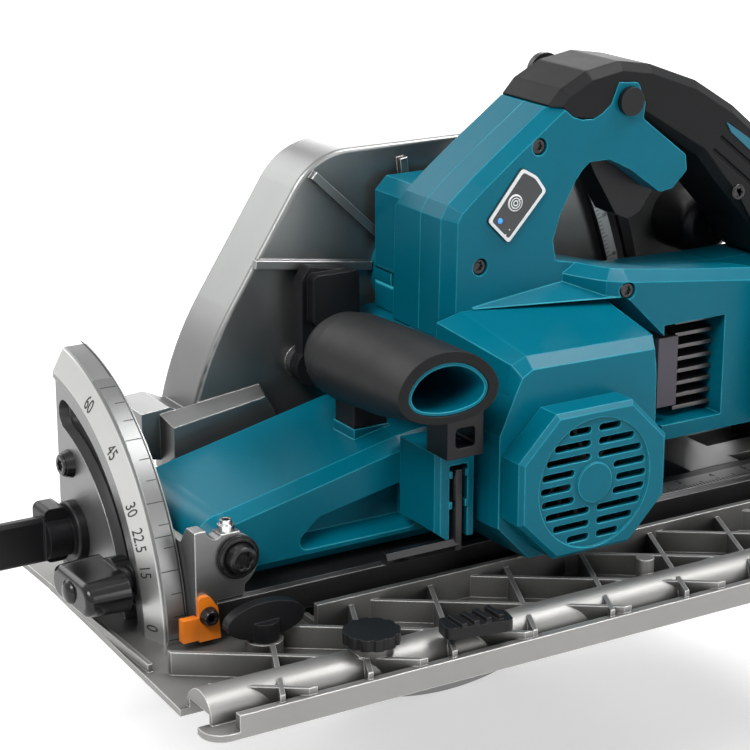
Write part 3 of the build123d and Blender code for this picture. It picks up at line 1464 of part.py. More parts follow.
# Dust nozzle on the rear outlet of the case
nozzle_y = -34.5
with BuildPart() as dust_nozzle:
    with BuildSketch(side(case_near_y - seat)):
        with Locations((duct_x + 4, duct_z)):
            Circle(16)
    extrude(amount=27)
    fillet(edges().group_by(Axis.Y)[0], 6)
    with BuildSketch(front(duct_x + 4)):
        with Locations((nozzle_y, duct_z)):
            Circle(13.2)
    extrude(amount=54)
    with BuildSketch(front(duct_x + 4)):
        with Locations((nozzle_y, duct_z)):
            Circle(11)
    extrude(amount=60, mode=Mode.SUBTRACT)
    with BuildSketch(side(case_near_y)):
        with Locations((duct_x + 4, duct_z)):
            Circle(11)
    extrude(amount=16, mode=Mode.SUBTRACT)
save(dust_nozzle, "dust_nozzle")

# Depth clamp: a bolt on the case that passes the guide, with a lever behind it
depth_at = (pivot_x + guide_r, pivot_z)
with BuildPart() as depth_bolt:
    with BuildSketch(side(case_near_y - seat)):
        with Locations(depth_at):
            Circle(8)
    extrude(amount=case_near_y - seat - guide_y - gap)
    with BuildSketch(side(case_near_y)):
        with Locations(depth_at):
            Circle(guide_bolt_r - run)
    extrude(amount=case_near_y + 42)
save(depth_bolt, "depth_bolt")

lever_face = guide_y - guide_t - gap
with BuildPart() as depth_lever:
    with BuildSketch(side(lever_face)):
        with Locations(depth_at):
            Circle(8.5)
    extrude(amount=14)
    with BuildSketch(side(lever_face - 6)):
        with BuildLine():
            Polyline((depth_at[0] - 5, depth_at[1] - 4), (depth_at[0] + 4, depth_at[1] - 6),
                     (depth_at[0] + 30, depth_at[1] + 14), (depth_at[0] + 28, depth_at[1] + 22),
                     (depth_at[0] - 3, depth_at[1] + 5), close=True)
        make_face()
        fillet(vertices(), 2)
    extrude(amount=8)
    with BuildSketch(side(lever_face + 1)):
        with Locations(depth_at):
            Circle(guide_bolt_r)
    extrude(amount=17, mode=Mode.SUBTRACT)
save(depth_lever, "depth_lever")

# Spindle lock: a button in the front of the gear case, above the arm
with BuildPart() as spindle_lock:
    with BuildSketch(front(body_x + 14)):
        with Locations(lock_pin):
            Circle(3.5)
    extrude(amount=-22)
    with BuildSketch(front(body_x - 8)):
        with Locations(lock_pin):
            Circle(5)
    extrude(amount=-4)
save(spindle_lock, "spindle_lock")

# ---------------------------------------------------------------- battery
pack_y0 = -134.0
pack_y1 = -58.0
pack_mid = (pack_y0 + pack_y1) / 2
rail_z = 106.0
pack_x = housing_rear + gap
with BuildPart() as battery_shoe:
    with BuildSketch(front(housing_rear + seat)):
        with Locations((pack_mid, rail_z + 4.4)):
            Rectangle(64, 7.8)
        with Locations((pack_mid, rail_z + 1.5)):
            Rectangle(41, 4, mode=Mode.SUBTRACT)
        with Locations((pack_mid, rail_z + 4.6)):
            Rectangle(49, 4.2, mode=Mode.SUBTRACT)
    extrude(amount=76)
    with Locations((housing_rear + seat + 3, pack_mid, rail_z + 4.6)):
        Box(6, 49, 4.2)
    for blade in range(4):
        with Locations((housing_rear + 10, pack_mid - 12 + 8 * blade, rail_z + 4.6)):
            Box(10, 1, 4.2)
save(battery_shoe, "battery_shoe")

with BuildPart() as battery_pack:
    with BuildSketch(Plane.XY.offset(housing_low - 2)):
        with Locations((pack_x + 52, pack_mid)):
            RectangleRounded(104, pack_y1 - pack_y0, 8)
    extrude(amount=rail_z - gap - housing_low + 2)
    chamfer(edges().group_by(Axis.Z)[0], 4)
    with BuildSketch(front(pack_x + 15)):
        with Locations((pack_mid, rail_z + 1.2)):
            Rectangle(40, 3.6)
        with Locations((pack_mid, rail_z + 4.5)):
            Rectangle(48, 3.2)
    extrude(amount=60)
    # recess of the latch button
    with Locations((pack_x + 101, pack_mid, rail_z - 12)):
        Box(8, 28, 18, mode=Mode.SUBTRACT)
save(battery_pack, "battery_pack")

with BuildPart() as battery_latch:
    with BuildSketch(front(pack_x + 97.5)):
        with Locations((pack_mid, rail_z - 9.5)):
            RectangleRounded(26, 11, 2)
    extrude(amount=8)
save(battery_latch, "battery_latch")

# ---------------------------------------------------------------- trim
# Screws let into the near shell, and the bare pad on the handle's root
with BuildPart() as body_screws:
    for screw_y, screws in ((root_y, root_screws), (tail_y, tail_screws)):
        with BuildSketch(side(screw_y + 5)):
            with Locations(*screws):
                Circle(3.8)
        extrude(amount=2.5)
save(body_screws, "body_screws")

with BuildPart() as mode_pad:
    with BuildSketch(side(root_y)):
        with BuildLine():
            Polyline((116.5, 160.5), (128, 149), (148.5, 171), (143, 178.5), (135, 183), close=True)
        make_face()
        fillet(vertices(), 2)
    extrude(amount=1.2)
    chamfer(edges().group_by(Axis.Y)[0], 0.6)
save(mode_pad, "mode_pad")
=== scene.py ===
import math

import bmesh
import bpy
import numpy as np
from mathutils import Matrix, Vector


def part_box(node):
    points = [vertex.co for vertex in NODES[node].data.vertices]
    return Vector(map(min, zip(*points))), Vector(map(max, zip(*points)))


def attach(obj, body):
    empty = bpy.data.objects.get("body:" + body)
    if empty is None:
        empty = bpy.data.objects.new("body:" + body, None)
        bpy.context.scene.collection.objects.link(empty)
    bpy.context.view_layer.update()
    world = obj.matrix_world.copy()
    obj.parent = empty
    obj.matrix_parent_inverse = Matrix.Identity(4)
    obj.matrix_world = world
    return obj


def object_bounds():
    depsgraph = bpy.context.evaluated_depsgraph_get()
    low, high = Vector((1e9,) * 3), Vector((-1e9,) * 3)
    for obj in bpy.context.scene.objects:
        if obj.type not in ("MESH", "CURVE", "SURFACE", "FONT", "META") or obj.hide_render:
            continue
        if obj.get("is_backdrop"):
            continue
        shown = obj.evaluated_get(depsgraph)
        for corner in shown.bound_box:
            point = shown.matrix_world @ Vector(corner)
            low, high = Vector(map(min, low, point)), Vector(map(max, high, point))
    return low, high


bl_info = {
    "name": "Guide-rail circular saw",
    "version": (1, 0, 0),
    "blender": (4, 5, 0),
    "location": "View3D > Sidebar > Saw",
    "description": "Dresses the packed saw: castings, moulded housings, scales, stage",
    "category": "Object",
}

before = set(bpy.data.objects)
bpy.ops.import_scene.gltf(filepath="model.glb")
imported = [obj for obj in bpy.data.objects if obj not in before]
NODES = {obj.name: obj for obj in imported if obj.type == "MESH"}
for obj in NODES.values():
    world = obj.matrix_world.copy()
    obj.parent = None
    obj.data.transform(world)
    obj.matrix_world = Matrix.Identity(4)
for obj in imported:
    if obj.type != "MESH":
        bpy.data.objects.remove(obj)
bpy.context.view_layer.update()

MM = 0.001
DIGIT = 0.73                           # height of a digit over the size of its font
CRISP = 32.0                           # degrees between faces from which an edge stays crisp
NEAR = (0, -1, 0)                      # out of the saw's near side


def in_mm(corner):
    """A corner of a box, as x, y and z in mm."""
    return (np.array(corner) / MM).round(4)


# Lengths below are in mm and angles in degrees.
# bevel scale, on the front bevel plate and about the bevel axis
PLATE_FACE = in_mm(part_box("bevel_plate_front")[0])[0]
SCALE_ZERO = 3.0                       # angle from the sole at which the scale reads 0
SCALE_NUMBERS = (0, 15, 22.5, 30, 45, 60)
SCALE_STEP = 5                         # from one graduation to the next
CONE_R = (98.0, 110.0)                 # inner and outer edge of the sloping face of the numbers
CONE_FALL = 3.0
NUMBER_R = 102.6
BAND_FOOT, BAND_R = 110.4, 112.2       # rim of the plate, and top of the band of graduations
BAND_X = (-54.2, -45.4)
# black sheet behind the slot, painted shade: its x span and its radii
SHADE_SHEET_X, SHADE_SHEET_R = (-51.4, -50.4), (72.0, 92.5)
BOLT_R, BOLT_ANGLE = 82.0, 16.0        # place of the clamp bolt in the slot
# depth scale, on the arc and about the depth pivot
ARC_FACE = in_mm(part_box("depth_guide")[0])[1]
DEPTH_PIVOT = (-24.0, 40.0)            # x and z
DEPTH_R = (268.4, 274.6)               # edges of the strip
DEPTH_NUMBER_R = 273.0
DEPTH_ZERO, DEPTH_STEP = -2.0, 0.45    # angle of the first mark, and from one to the next
DEPTH_MARKS = 76
# mode pad: corners of its face, middle of the button, the light and the dots, as x and z
PAD_FACE = in_mm(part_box("mode_pad")[0])[1]
PAD_CORNERS = ((116.5, 160.5), (128.0, 149.0), (148.5, 171.0), (143.0, 178.5), (135.0, 183.0))
PAD_BUTTON = (131.3, 167.4)
PAD_LIGHT = (123.4, 160.2)
PAD_DOTS = ((121.6, 156.6), (126.4, 153.4), (128.4, 155.6))
# seats of the screws that show
SHELL_SCREWS = ((145, -89.4, 191), (114, -89.4, 140), (182, -109.4, 124), (193, -109.4, 42))
GRIP_SCREW = (260.7, -91.9, 156.7)
POINTER_SCREW = (-39.1, -122.8, 17)
PLATE_SCREW = (-60.2, -23, 58)
FOOT_SCREWS = ((-48, -32, 10.3), (-48, -92, 10.3), (318.5, -24, 10.3), (318.5, -56, 10.3))


# ---------------------------------------------------------------------- shapes
def grid_faces(rows, columns):
    """Four-sided faces between neighbouring rows of points, closed round the columns."""
    row, column = np.meshgrid(np.arange(rows - 1), np.arange(columns), indexing="ij")
    across = (column + 1) % columns
    faces = np.stack([row * columns + column, row * columns + across,
                      (row + 1) * columns + across, (row + 1) * columns + column], -1)
    return faces.reshape(-1, 4).tolist()


def join(forms):
    """Several forms, each (points, faces), as one form."""
    points, faces, start = [], [], 0
    for form_points, form_faces in forms:
        points.append(form_points)
        faces += [[start + corner for corner in face] for face in form_faces]
        start += len(form_points)
    return np.concatenate(points), faces


def turned(rings, at, out, segments=48):
    """A closed turned form in mm. A ring is (radius, height, wave): at angle a its point
    stands at radius * (1 + wave * cos(6 a)) from the axis. The axis leaves the point at
    along the unit direction out, and a flat fan closes each end."""
    rings = np.array(rings, float)
    angle = np.linspace(0, 2 * np.pi, segments, endpoint=False)
    radius = rings[:, :1] * (1 + rings[:, 2:] * np.cos(6 * angle))
    height = np.broadcast_to(rings[:, 1:2], radius.shape)
    out = np.array(out, float)
    side = np.cross(out, (0.0, 0.0, 1.0) if abs(out[2]) < 0.9 else (1.0, 0.0, 0.0))
    up = np.cross(out, side)
    points = (np.array(at, float) + (radius * np.cos(angle))[..., None] * side
              + (radius * np.sin(angle))[..., None] * up + height[..., None] * out)
    count = len(rings) * segments
    ends = np.array(at, float) + rings[[0, -1], 1][:, None] * out
    here = np.arange(segments)
    ahead = (here + 1) % segments
    last = count - segments
    fans = np.concatenate([
        np.stack([np.full(segments, count), ahead, here], -1),
        np.stack([np.full(segments, count + 1), last + here, last + ahead], -1)])
    return (np.concatenate([points.reshape(-1, 3), ends]),
            grid_faces(len(rings), segments) + fans.tolist())


def carried(profile, angles, place):
    """A closed outline of (depth, radius) points in mm carried along an arc: place turns
    depth, radius and angle into x, y and z. Flat faces close both ends."""
    depth, radius = np.array(profile, float).T
    angle = np.array(angles, float)[:, None]
    points = np.stack(np.broadcast_arrays(*place(depth, radius, angle)), -1)
    rows, columns = points.shape[:2]
    first = list(range(columns))
    last = [(rows - 1) * columns + corner for corner in first]
    return points.reshape(-1, 3), grid_faces(rows, columns) + [first[::-1], last]


def box_profile(near, far, low, high):
    """An oblong outline between two depths and two radii."""
    return [(near, low), (far, low), (far, high), (near, high)]


def block(x_span, y_span, z_span):
    """A square bar: its outline in y and z carried from one x to the other."""
    return carried(box_profile(*y_span, *z_span), x_span, lambda y, z, x: (x, y, z))


def sweep(start, end, count):
    """Angles in radians, spread evenly between two angles in degrees."""
    return np.radians(np.linspace(start, end, count))


def on_bevel(x, radius, angle):
    """About the bevel axis: the angle rises from the near side of the sole."""
    return x, -radius * np.cos(angle), radius * np.sin(angle)


def on_depth(y, radius, angle):
    """About the depth pivot: the angle rises from the rear."""
    return (DEPTH_PIVOT[0] + radius * np.cos(angle), y,
            DEPTH_PIVOT[1] + radius * np.sin(angle))


def cone_face(radius):
    """x of the sloping face: it falls back by CONE_FALL from its inner to its outer edge."""
    low, high = CONE_R
    return PLATE_FACE + CONE_FALL * (radius - low) / (high - low)


def letters(words, height, squeeze, thick):
    """Generic numbers as a closed form lying in u (along the line), v (up) and w (out)."""
    curve = bpy.data.curves.new("numbers", "FONT")
    curve.body = words
    curve.size = height / DIGIT
    curve.extrude = thick / 2
    curve.align_x = curve.align_y = "CENTER"
    line = bpy.data.objects.new("numbers", curve)
    mesh = bpy.data.meshes.new_from_object(line)
    points = np.empty(len(mesh.vertices) * 3)
    mesh.vertices.foreach_get("co", points)
    faces = [list(face.vertices) for face in mesh.polygons]
    bpy.data.objects.remove(line)
    bpy.data.curves.remove(curve)
    bpy.data.meshes.remove(mesh)
    return points.reshape(-1, 3) * (squeeze, 1, 1), faces


def rounded(corners, inset, radius, steps=6):
    """Outline of a convex polygon (corners counterclockwise) moved in by inset, each corner
    replaced by a curve (1-s)^2 a + 2 s (1-s) c + s^2 b that starts and ends radius away."""
    corners = np.array(corners, float)
    along = np.roll(corners, -1, 0) - corners
    along /= np.linalg.norm(along, axis=1)[:, None]
    inward = np.stack([-along[:, 1], along[:, 0]], -1)
    before, normal_before = np.roll(along, 1, 0), np.roll(inward, 1, 0)
    turn = before[:, 0] * along[:, 1] - before[:, 1] * along[:, 0]
    miss = inward * inset - normal_before * inset
    reach = (miss[:, 0] * along[:, 1] - miss[:, 1] * along[:, 0]) / turn
    corners = corners + normal_before * inset + before * reach[:, None]
    step = np.linspace(0, 1, steps)[None, :, None]
    start, end = corners - before * radius, corners + along * radius
    curve = ((1 - step) ** 2 * start[:, None] + 2 * step * (1 - step) * corners[:, None]
             + step ** 2 * end[:, None])
    return curve.reshape(-1, 2)


def slab(outline, back, face):
    """A flat piece between two y planes with an outline in x and z."""
    count = len(outline)
    points = np.concatenate([np.insert(outline, 1, back, axis=1),
                             np.insert(outline, 1, face, axis=1)])
    around = list(range(count))
    return points, grid_faces(2, count) + [around[::-1], [count + c for c in around]]


def hoop(outer, inner, back, face):
    """A flat frame between two outlines with as many points, and between two y planes. The
    fifth row of its grid of faces is the first again, which closes the frame."""
    loops = [np.insert(loop, 1, y, axis=1) for loop, y in
             ((outer, back), (outer, face), (inner, face), (inner, back))]
    count = len(outer)
    faces = np.array(grid_faces(5, count)) % (4 * count)
    return np.concatenate(loops), faces.tolist()


def piece(name, form, body, material):
    """A finished piece on a body: doubles merged, faces outward, sharp edges kept crisp."""
    points, faces = form
    mesh = bpy.data.meshes.new(name)
    mesh.from_pydata((points * MM).tolist(), [], faces)
    surface = bmesh.new()
    surface.from_mesh(mesh)
    bmesh.ops.remove_doubles(surface, verts=surface.verts, dist=1e-6)
    bmesh.ops.dissolve_degenerate(surface, dist=1e-7, edges=surface.edges)
    bmesh.ops.recalc_face_normals(surface, faces=surface.faces)
    surface.to_mesh(mesh)
    surface.free()
    mesh.shade_smooth()
    mesh.set_sharp_from_angle(angle=math.radians(CRISP))
    mesh.materials.append(material)
    thing = bpy.data.objects.new(name, mesh)
    bpy.context.scene.collection.objects.link(thing)
    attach(thing, body)


def star_head(at, out, radius, high, recess, deep):
    """A pan head turned about out: up its flank, over the shoulder, and down into a recess
    whose radius swings six times round the axis."""
    return turned([(radius, 0, 0), (radius, high * 0.5, 0), (radius * 0.95, high * 0.8, 0),
                   (radius * 0.84, high, 0), (recess * 1.25, high, 0), (recess, high - 0.1, 0.16),
                   (recess * 0.96, high - deep, 0.16), (recess * 0.3, high - deep, 0)], at, out)


# ------------------------------------------------------------------ node groups
def new_group(name, inputs, outputs):
    """An empty shader node group with named sockets, and its two end nodes."""
    group = bpy.data.node_groups.new(name, "ShaderNodeTree")
    for label, kind, default in inputs:
        socket = group.interface.new_socket(label, in_out="INPUT", socket_type=kind)
        if default is not None:
            socket.default_value = default
    for label, kind in outputs:
        group.interface.new_socket(label, in_out="OUTPUT", socket_type=kind)
    return group, group.nodes.new("NodeGroupInput"), group.nodes.new("NodeGroupOutput")


def feed(tree, socket, value):
    """Link another socket to this one, or set a plain value on it."""
    if isinstance(value, bpy.types.NodeSocket):
        tree.links.new(value, socket)
    else:
        socket.default_value = value


def calc(tree, operation, a, b, clamp=False):
    """Math node on two numbers; gives its output socket."""
    node = tree.nodes.new("ShaderNodeMath")
    node.operation = operation
    node.use_clamp = clamp
    feed(tree, node.inputs[0], a)
    feed(tree, node.inputs[1], b)
    return node.outputs[0]


def vector_calc(tree, operation, *values):
    """Vector Math node on one or two vectors; gives its output socket."""
    node = tree.nodes.new("ShaderNodeVectorMath")
    node.operation = operation
    for socket, value in zip(node.inputs, values):
        feed(tree, socket, value)
    return node.outputs["Value" if operation in ("DOT_PRODUCT", "LENGTH") else "Vector"]


def blend(tree, factor, a, b):
    """Mix node from colour a to colour b; gives its output socket."""
    node = tree.nodes.new("ShaderNodeMix")
    node.data_type = "RGBA"
    feed(tree, node.inputs["Factor"], factor)
    feed(tree, node.inputs["A"], a)
    feed(tree, node.inputs["B"], b)
    return node.outputs["Result"]


def opaque(colour, share=1.0):
    """A colour times a share, at most 1, with full opacity."""
    return [min(c * share, 1) for c in colour] + [1]


def object_place(tree):
    """The shaded point in the object's own coordinates."""
    return tree.nodes.new("ShaderNodeTexCoord").outputs["Object"]


def build_soft_edge():
    """Rounded edge: the surface normal averaged within Radius, and a mask that grows with
    the difference between that normal and the flat one, so it is 1 along sharp edges."""
    group, enter, leave = new_group(
        "Soft edge", [("Radius", "NodeSocketFloat", 0.0006), ("Sharpness", "NodeSocketFloat", 6.0)],
        [("Normal", "NodeSocketVector"), ("Mask", "NodeSocketFloat")])
    bevel = group.nodes.new("ShaderNodeBevel")
    bevel.samples = 4
    group.links.new(enter.outputs["Radius"], bevel.inputs["Radius"])
    flat = group.nodes.new("ShaderNodeNewGeometry")
    agree = vector_calc(group, "DOT_PRODUCT", bevel.outputs["Normal"], flat.outputs["Normal"])
    away = calc(group, "SUBTRACT", 1.0, agree)
    mask = calc(group, "MULTIPLY", away, enter.outputs["Sharpness"], clamp=True)
    group.links.new(bevel.outputs["Normal"], leave.inputs["Normal"])
    group.links.new(mask, leave.inputs["Mask"])
    return group


def build_grain():
    """Surface grain: three octaves of noise at Scale for a bump height, and a slow noise
    forty times larger for changes of colour and gloss."""
    group, enter, leave = new_group(
        "Grain", [("Vector", "NodeSocketVector", None), ("Scale", "NodeSocketFloat", 900.0)],
        [("Height", "NodeSocketFloat"), ("Cloud", "NodeSocketFloat")])
    fine = group.nodes.new("ShaderNodeTexNoise")
    fine.inputs["Detail"].default_value = 3.0
    cloud = group.nodes.new("ShaderNodeTexNoise")
    cloud.inputs["Detail"].default_value = 4.0
    cloud.inputs["Roughness"].default_value = 0.6
    slow = calc(group, "DIVIDE", enter.outputs["Scale"], 40.0)
    for node, scale in ((fine, enter.outputs["Scale"]), (cloud, slow)):
        group.links.new(enter.outputs["Vector"], node.inputs["Vector"])
        group.links.new(scale, node.inputs["Scale"])
    group.links.new(fine.outputs["Fac"], leave.inputs["Height"])
    group.links.new(cloud.outputs["Fac"], leave.inputs["Cloud"])
    return group


def build_turned():
    """Turned metal: rings round the Y axis through Centre, from noise of the radius."""
    group, enter, leave = new_group(
        "Turned", [("Vector", "NodeSocketVector", None), ("Centre", "NodeSocketVector", None),
                   ("Scale", "NodeSocketFloat", 2500.0)],
        [("Height", "NodeSocketFloat")])
    away = vector_calc(group, "SUBTRACT", enter.outputs["Vector"], enter.outputs["Centre"])
    flat = vector_calc(group, "MULTIPLY", away, (1.0, 0.0, 1.0))
    noise = group.nodes.new("ShaderNodeTexNoise")
    noise.noise_dimensions = "1D"
    noise.inputs["Detail"].default_value = 3.0
    group.links.new(vector_calc(group, "LENGTH", flat), noise.inputs["W"])
    group.links.new(enter.outputs["Scale"], noise.inputs["Scale"])
    group.links.new(noise.outputs["Fac"], leave.inputs["Height"])
    return group


def build_recess():
    """Painted shade in recesses: a mask, 1 deep in pockets of the piece's own shape and 0 on open
    faces, from how much of the sky its own walls hide within Reach."""
    group, enter, leave = new_group(
        "Painted recess shade", [("Reach", "NodeSocketFloat", 0.012), ("Strength", "NodeSocketFloat", 1.0)],
        [("Mask", "NodeSocketFloat")])
    hidden = group.nodes.new("ShaderNodeAmbientOcclusion")
    hidden.only_local = True
    hidden.samples = 4
    group.links.new(enter.outputs["Reach"], hidden.inputs["Distance"])
    away = calc(group, "SUBTRACT", 1.0, hidden.outputs["AO"])
    group.links.new(calc(group, "MULTIPLY", away, enter.outputs["Strength"], clamp=True),
                    leave.inputs["Mask"])
    return group


BUILDERS = {"Soft edge": build_soft_edge, "Grain": build_grain, "Turned": build_turned,
            "Painted recess shade": build_recess}
GROUPS = {}


def group_node(tree, name, **values):
    """Place a shared group, built at its first use, in a material with its own values."""
    if name not in GROUPS:
        GROUPS[name] = BUILDERS[name]()
    node = tree.nodes.new("ShaderNodeGroup")
    node.node_tree = GROUPS[name]
    for label, value in values.items():
        node.inputs[label].default_value = value
    return node


POCKET_SHADE = 0.22                    # share of its colour that a surface keeps in its pockets, where shade is painted


def finish(name, colour, rough, metal=0.0, *, worn_and_highlight_colour=None, wear_and_highlight=0.0, edge=0.0005, grain=900.0,
           bump=0.06, depth=0.0002, cloud=0.08, gloss_change=0.08, specular=0.5,
           turned_about=None, painted_pocket_shade=None, reach=0.012):
    """A material: base colour clouded by slow noise, turned to a pale edge colour on its edges,
    partly wear and partly painted highlight, and darker in its pockets as painted shade, with a
    rounded-edge normal under a fine grain, or under rings turned about a centre. edge is the
    radius of the rounding, grain the scale of the noise, bump and depth the strength and height
    of the grain, cloud and gloss_change how far colour and roughness wander, the edge and pocket
    strengths how strong the worn and lit edges and the painted pocket shade are, and reach how
    far a pocket looks for its walls; lengths here are in m."""
    material = bpy.data.materials.new(name)
    material.use_nodes = True
    tree = material.node_tree
    shader = tree.nodes["Principled BSDF"]
    shader.inputs["Metallic"].default_value = metal
    shader.inputs["Specular IOR Level"].default_value = specular
    where = object_place(tree)
    soft = group_node(tree, "Soft edge", Radius=edge)
    surface = group_node(tree, "Grain", Scale=grain)
    tree.links.new(where, surface.inputs["Vector"])
    height = surface.outputs["Height"]
    if turned_about is not None:
        rings = group_node(tree, "Turned", Centre=turned_about)
        tree.links.new(where, rings.inputs["Vector"])
        height = rings.outputs["Height"]
    # colour: darker and lighter clouds, then the edges, worn and with a painted highlight, then the
    # painted shade in the pockets
    tint = blend(tree, surface.outputs["Cloud"], opaque(colour, 1 - cloud),
                 opaque(colour, 1 + cloud))
    # edges: partly wear, partly a painted highlight in the pale edge colour
    if worn_and_highlight_colour:
        patchy = calc(tree, "MULTIPLY", soft.outputs["Mask"], surface.outputs["Cloud"])
        worn_and_lit_edge = calc(tree, "MULTIPLY", patchy, wear_and_highlight, clamp=True)
        tint = blend(tree, worn_and_lit_edge, tint, opaque(worn_and_highlight_colour))
    # pockets: painted shade, darker where the piece's own walls hide the sky
    if painted_pocket_shade:
        recess = group_node(tree, "Painted recess shade", Reach=reach, Strength=painted_pocket_shade)
        tint = blend(tree, recess.outputs["Mask"], tint, opaque(colour, POCKET_SHADE))
    tree.links.new(tint, shader.inputs["Base Color"])
    change = calc(tree, "MULTIPLY", calc(tree, "SUBTRACT", surface.outputs["Cloud"], 0.5),
                  2 * gloss_change)
    tree.links.new(calc(tree, "ADD", change, rough, clamp=True), shader.inputs["Roughness"])
    relief = tree.nodes.new("ShaderNodeBump")
    relief.inputs["Strength"].default_value = bump
    relief.inputs["Distance"].default_value = depth
    tree.links.new(height, relief.inputs["Height"])
    tree.links.new(soft.outputs["Normal"], relief.inputs["Normal"])
    tree.links.new(relief.outputs["Normal"], shader.inputs["Normal"])
    return material


def pale_ring(material, low, high, face, colour):
    """Paints a reflection on a turned face: the base colour becomes a lighter colour where the
    distance from the X axis lies between low and high, and x is under face."""
    tree = material.node_tree
    shader = tree.nodes["Principled BSDF"]
    before = shader.inputs["Base Color"].links[0].from_socket
    where = object_place(tree)
    flat = vector_calc(tree, "MULTIPLY", where, (0.0, 1.0, 1.0))
    radius = vector_calc(tree, "LENGTH", flat)
    parts = tree.nodes.new("ShaderNodeSeparateXYZ")
    tree.links.new(where, parts.inputs[0])
    inside = calc(tree, "MULTIPLY", calc(tree, "GREATER_THAN", radius, low),
                  calc(tree, "LESS_THAN", radius, high))
    mask = calc(tree, "MULTIPLY", inside, calc(tree, "LESS_THAN", parts.outputs["X"], face))
    tree.links.new(blend(tree, mask, before, opaque(colour)), shader.inputs["Base Color"])
    return material


def dress(material, nodes):
    """Give CAD nodes a material."""
    for node in nodes:
        mesh = NODES[node].data
        mesh.materials.clear()
        mesh.materials.append(material)


def settings():
    """The colours and sizes that the user sets."""
    return bpy.context.scene.saw_settings


def colour_prop(name, description, default):
    """A colour that the user can change."""
    return bpy.props.FloatVectorProperty(name=name, description=description, default=default,
                                         subtype="COLOR", size=3, min=0.0, max=1.0)


class SawSettings(bpy.types.PropertyGroup):
    """Colours and sizes of the saw's dress."""
    housing: colour_prop("Housing", "Colour of the moulded housings", (0.0, 0.125, 0.185))
    casting: colour_prop("Casting", "Colour of the blade case and brackets", (0.205, 0.21, 0.206))
    sole: colour_prop("Base", "Colour of the cast base", (0.25, 0.248, 0.24))
    rubber: colour_prop("Rubber", "Colour of the soft grips", (0.007, 0.0075, 0.008))
    pointer: colour_prop("Pointer", "Colour of the bevel pointer", (0.86, 0.22, 0.012))
    mark_height: bpy.props.FloatProperty(
        name="Number height", description="Height of the numbers on the bevel scale",
        default=7.3 * MM, unit="LENGTH", subtype="DISTANCE")
    lens: bpy.props.FloatProperty(name="Lens", description="Focal length of the camera",
                                  default=108.14, unit="CAMERA")


class SAW_OT_housings(bpy.types.Operator):
    """Moulded housings: satin plastic with a fine spark texture"""
    bl_idname = "saw.housings"
    bl_label = "Housings"

    def execute(self, context):
        # the pale cyan edges are a painted highlight along the facets, and the darker pockets
        # painted shade
        plastic = finish("housing_plastic", settings().housing, 0.3, edge=0.0009, grain=2600.0,
                         bump=0.12, depth=0.0001, cloud=0.06, gloss_change=0.05, specular=0.12,
                         worn_and_highlight_colour=(0.05, 0.52, 0.66), wear_and_highlight=1.8, painted_pocket_shade=0.7, reach=0.008)
        dress(plastic, ["gear_case", "motor_housing", "motor_cap", "shell_near", "shell_far",
                        "key_clip", "grip_liner"])
        return {"FINISHED"}


class SAW_OT_castings(bpy.types.Operator):
    """Die castings: blade case, brackets, plates, guard and the base"""
    bl_idname = "saw.castings"
    bl_label = "Castings"

    def execute(self, context):
        # the pale edges are worn paint and a painted highlight, the darker pockets painted shade
        paint = finish("casting_paint", settings().casting, 0.33, 0.85, edge=0.0008,
                       grain=1500.0, bump=0.16, depth=0.00015, cloud=0.08,
                       worn_and_highlight_colour=(0.6, 0.6, 0.59), wear_and_highlight=2.2, painted_pocket_shade=0.8, reach=0.018)
        dress(paint, ["blade_case", "front_bracket", "rear_bracket"])
        dress(self.plate("plate_casting", 1.6), ["bevel_plate_rear"])
        # the sloping face of the numbers is painted lighter, a painted reflection
        front = pale_ring(self.plate("front_plate_casting", 1.0), (CONE_R[0] - 0.4) * MM,
                          BAND_FOOT * MM, (BAND_X[0] - 0.2) * MM, (0.5, 0.5, 0.49))
        dress(front, ["bevel_plate_front"])
        # base: the pale edges are wear and painted highlight, the dark lattice pockets painted
        # shade
        sole = finish("base_casting", settings().sole, 0.47, 0.8, edge=0.0007, grain=1300.0,
                      bump=0.24, depth=0.00018, cloud=0.12, worn_and_highlight_colour=(0.7, 0.69, 0.67), wear_and_highlight=2.6,
                      painted_pocket_shade=1.2, reach=0.02)
        dress(sole, ["base_plate"])
        guard = finish("guard_metal", (0.3, 0.3, 0.3), 0.34, 0.9, grain=1800.0, bump=0.08,
                       worn_and_highlight_colour=(0.8, 0.8, 0.8), wear_and_highlight=0.6)
        dress(guard, ["lower_guard"])
        # the fins' pale edges are wear and painted highlight, their darker pockets painted shade
        fins = finish("fin_metal", (0.10, 0.095, 0.095), 0.34, 0.8, edge=0.0004, bump=0.06,
                      worn_and_highlight_colour=(0.5, 0.5, 0.5), wear_and_highlight=1.4, painted_pocket_shade=1.0, reach=0.006)
        dress(fins, ["heat_sink"])
        return {"FINISHED"}

    def plate(self, name, wear_and_highlight):
        """The bevel plates' casting, a little paler than the blade case."""
        # the pale edges are wear and painted highlight, the darker pockets painted shade
        return finish(name, [c * 1.05 for c in settings().casting], 0.36, 0.8, edge=0.0006,
                      grain=1500.0, bump=0.16, depth=0.00015, cloud=0.07,
                      worn_and_highlight_colour=(0.6, 0.6, 0.59), wear_and_highlight=wear_and_highlight, painted_pocket_shade=0.5)


